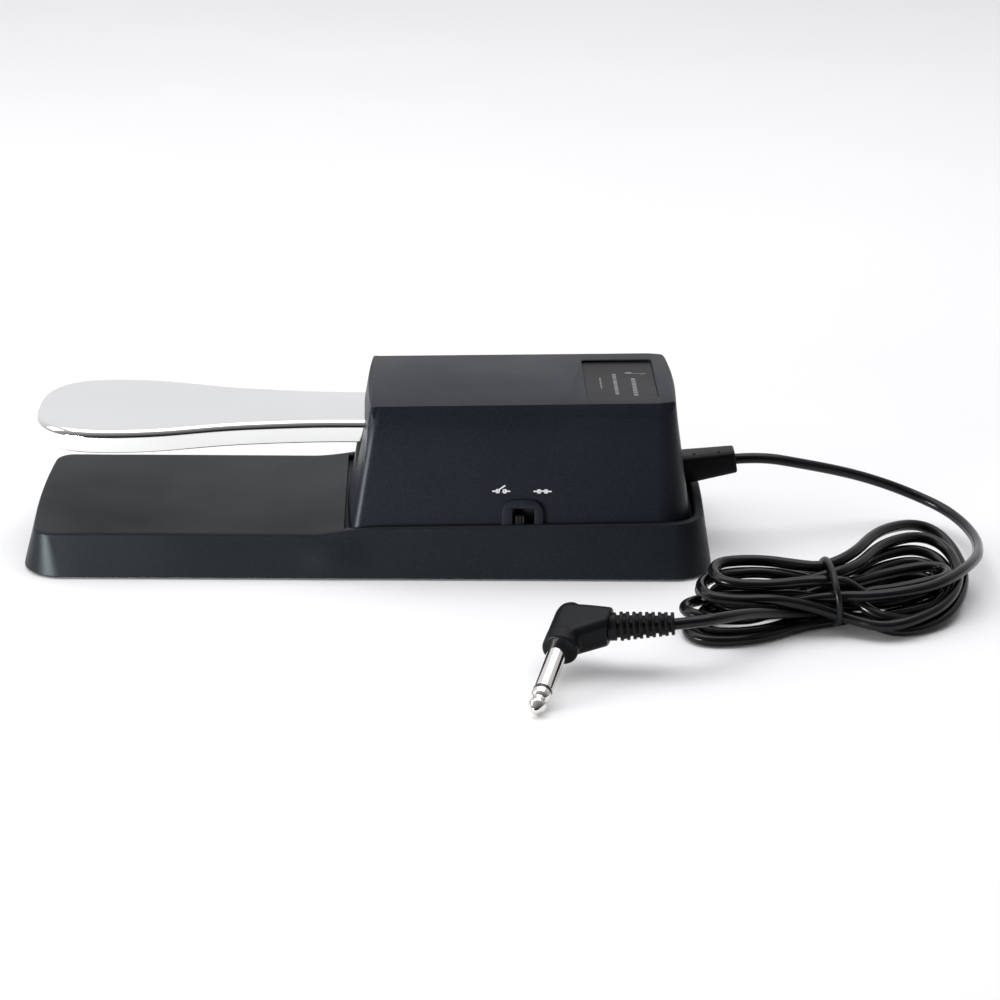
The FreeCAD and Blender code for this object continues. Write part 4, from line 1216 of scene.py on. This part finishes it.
    def label_film(self) -> bpy.types.Object:
        """The thin label at the bottom of its recess."""
        x0, x1, half, _ = self.label
        outline = rounded_rectangle((x1 - x0) / 2 - 0.3, half - 0.3, 1.0)
        middle = (x0 + x1) / 2
        shape = Shape()
        shape.loft([[(middle + x, y, self.roof(middle + x) - self.label_sink + lift) for x, y in outline]
                    for lift in (-0.12, 0.0)])
        piece = shape.build("label_film_plate", "label")
        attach(piece, Body.BASE.value)
        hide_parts("label_plate")
        return piece

    def wall_point(self, x: float, z: float, lift: float) -> Point:
        """A point on the switch's side wall, lifted off it."""
        return (x, -(self.half - self.side_draft * (z - self.deck)) - lift, z)

    def switch_marks(self) -> bpy.types.Object:
        """Open and closed contact signs beside the switch."""
        shape = Shape()
        strokes = []
        for left, closed in ((42.6, False), (56.9, True)):
            strokes += [((left, 30.0), (left + 1.9, 30.0)), ((left + 4.3, 30.0), (left + 6.2, 30.0))]
            strokes.append(((left + 1.7, 30.1), (left + 4.5, 30.2 if closed else 32.0)))
            for x in (left + 1.9, left + 4.3):
                strokes += [((x - 0.5, 29.5), (x + 0.5, 29.5)), ((x - 0.5, 30.5), (x + 0.5, 30.5)),
                            ((x - 0.5, 29.5), (x - 0.5, 30.5)), ((x + 0.5, 29.5), (x + 0.5, 30.5))]
        for (xa, za), (xb, zb) in strokes:
            run = Vector((xb - xa, zb - za)).normalized()
            side = Vector((-run.y, run.x)) * 0.22
            corners = ((xa + side.x, za + side.y), (xb + side.x, zb + side.y), (xb - side.x, zb - side.y),
                       (xa - side.x, za - side.y))
            shape.loft([[self.wall_point(x, z, lift) for x, z in corners] for lift in (-0.06, 0.05)])
        piece = shape.build("contact_signs", "print")
        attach(piece, Body.BASE.value)
        return piece

    def guard(self) -> bpy.types.Object:
        """The arch-shaped guard round the switch's knob."""
        x0, x1, z0, z1 = self.guard_size
        corner = self.guard_corner
        outer = [(x0, z0), (x1, z0)]
        for i in range(9):
            angle = math.pi / 2 * i / 8
            outer.append((x1 - corner + corner * math.cos(angle), z1 - corner + corner * math.sin(angle)))
        for i in range(9):
            angle = math.pi / 2 * (1 + i / 8)
            outer.append((x0 + corner + corner * math.cos(angle), z1 - corner + corner * math.sin(angle)))
        shape = Shape()
        shape.loft([[self.wall_point(x, z, lift) for x, z in outer] for lift in (-0.4, 0.0, 1.0, 1.3)])
        piece = shape.build("switch_guard", "shell")
        carve(piece, [self.knob_cutter(14.0)])
        soften(piece, 0.35, 3)
        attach(piece, Body.BASE.value)
        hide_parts("polarity_bezel")
        return piece

    def knob(self) -> bpy.types.Object:
        """The switch's knob with three grip ridges, and a dark sheet that slides with it behind the opening,
        standing in for the shade inside the housing.
        """
        shape = Shape()
        x0, x1, z0, z1 = self.knob_size
        profile = [(x0, -30.4), (x0, -37.7)]
        for i in range(3):
            left = x0 + 0.15 + i * 1.1
            profile += [(left + 0.1, -38.15), (left + 0.75, -38.15), (left + 0.9, -37.6)]
        profile += [(x1, -37.7), (x1, -30.4)]
        shape.loft([[(x, y, z) for x, y in profile] for z in (z0, z1)])
        # A dark sheet behind the knob's opening that hides the board: painted shade for the dark inside of
        # the housing.
        shade_sheet = ((x0 - 5.0, -33.4), (x1 + 5.0, -33.4), (x1 + 5.0, -33.1), (x0 - 5.0, -33.1))
        shape.loft([[(x, y, z) for x, y in shade_sheet] for z in (16.0, 24.8)])
        piece = shape.build("switch_knob", "knob")
        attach(piece, Body.KNOB.value)
        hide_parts("polarity_slider")
        return piece

    def build(self) -> list[bpy.types.Object]:
        """Make the cover and what is on it."""
        return [self.cover(), self.label_film(), self.label_print(), self.switch_marks(), self.guard(),
                self.knob()]


# ---- lever and spring -------------------------------------------------------
@dataclass
class Treadle:
    """The chromed lever: a pressed shell with a rounded shoulder."""

    tail: float = 44.0
    tail_half: float = 16.8
    side: tuple[tuple[float, float], ...] = (
        (20.0, 16.8), (-10.0, 16.9), (-25.0, 17.8), (-42.0, 19.9), (-52.8, 22.0), (-62.0, 24.5),
        (-71.0, 26.9), (-80.0, 28.4), (-90.0, 29.1), (-98.7, 28.4), (-105.9, 26.0), (-112.0, 21.0),
        (-115.8, 14.0), (-117.1, 6.5), (-117.3, 0.0))
    low: float = 40.9
    high: float = 48.7
    shoulder: float = 2.7
    wall: float = 2.2
    dome: float = 0.3
    hem: float = 0.5

    def half_outline(self) -> Plan:
        """A smooth line through the side's points, from the nose to the tail."""
        points = [Vector(p) for p in self.side][::-1]
        mirror = Vector((points[1].x, -points[1].y))
        chain = [mirror] + points + [Vector((self.tail, self.tail_half))]
        chain.append(chain[-1] * 2 - chain[-2])
        line = []
        for a, b, c, d in zip(chain, chain[1:], chain[2:], chain[3:]):
            for i in range(6):
                t = i / 6
                point = 0.5 * ((2 * b) + (c - a) * t + (2 * a - 5 * b + 4 * c - d) * t * t
                               + (3 * b - a - 3 * c + d) * t ** 3)
                line.append((point.x, max(point.y, 0.0)))
        line.append((self.tail, self.tail_half))
        line.append((self.tail, 0.0))
        return line

    def row(self, outline: Plan, inset: float, z: float) -> list[Point]:
        """The outline set in along its normals, at a height."""
        points = []
        for i, (x, y) in enumerate(outline):
            normal = outward(outline, i, -40.0)
            points.append((x - normal.x * inset, y - normal.y * inset, z))
        return points

    def build(self) -> bpy.types.Object:
        """Make the shell from its rows and a domed top."""
        outline = mirrored(self.half_outline())
        rows = [self.row(outline, self.wall, 46.5), self.row(outline, self.wall, self.low + 0.3),
                self.row(outline, self.wall - 0.5, self.low)]
        for turn in (0, 30, 60, 90):
            angle = math.radians(turn)
            rows.append(self.row(outline, self.hem * (1 - math.sin(angle)),
                                 self.low + self.hem * (1 - math.cos(angle))))
        for turn in range(0, 91, 9):
            angle = math.radians(turn)
            rows.append(self.row(outline, self.shoulder * (1 - math.cos(angle)),
                                 self.high - self.shoulder * (1 - math.sin(angle))))
        shape = Shape()
        made = shape.skin(rows)
        shape.across(made[0])
        self.top(shape, made[-1])
        piece = shape.build("chromed_treadle", "chrome", 34.0)
        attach(piece, Body.LEVER.value)
        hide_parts("pedal_lever")
        return piece

    def top(self, shape: Shape, rim: list) -> None:
        """Fill the top with strips from side to side, very slightly domed."""
        half, steps = len(rim) // 2, 16
        previous = None
        for i in range(half + 1):
            left, right = rim[i], rim[(len(rim) - i) % len(rim)]
            line = [left]
            for k in range(1, steps):
                share = k / steps
                point = left.co.lerp(right.co, share)
                point.z += self.dome * (1 - (2 * share - 1) ** 2) ** 1.5
                line.append(shape.bm.verts.new(point) if left is not right else left)
            line.append(right)
            if previous:
                for k in range(steps):
                    shape.face([previous[k], previous[k + 1], line[k + 1], line[k]])
            previous = line


@dataclass
class Spring:
    """The return spring between its seats."""

    x: float = 33.0
    radius: float = 5.8
    wire: float = 0.8
    low: float = 6.2
    high: float = 39.5
    turns: float = 7.5

    def build(self) -> bpy.types.Object:
        """Make the coil."""
        shape = Shape()
        steps = int(self.turns * 28)
        bottom, top = self.low + self.wire, self.high - self.wire
        rows = []
        for i in range(steps + 1):
            share = i / steps
            angle = 2 * math.pi * self.turns * share
            outward = Vector((math.cos(angle), math.sin(angle), 0.0))
            centre = Vector((self.x, 0.0, bottom + (top - bottom) * share)) + outward * self.radius
            rows.append([tuple(centre + outward * a + UP * b) for a, b in circle(self.wire, 12)])
        shape.loft(rows)
        piece = shape.build("return_coil", "pin")
        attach(piece, Body.BASE.value)
        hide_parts("return_spring")
        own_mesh(piece)
        return piece


def main() -> None:
    """Build the scene in order and report each piece."""
    logging.basicConfig(level=logging.INFO, format="%(message)s")
    Studio().build()
    lead = Lead()
    line, points = lead.build()
    tie = Tie(lead).build(points)
    plug = JackPlug().build()
    relief = HousingRelief().build()
    pieces = [line, tie, *plug, relief, Base().build(), *Housing().build(), Treadle().build(),
              Spring().build()]
    FINISHES.dress_frame()
    for piece in pieces:
        LOG.info("built %s", piece.name)


if __name__ == "__main__":
    main()
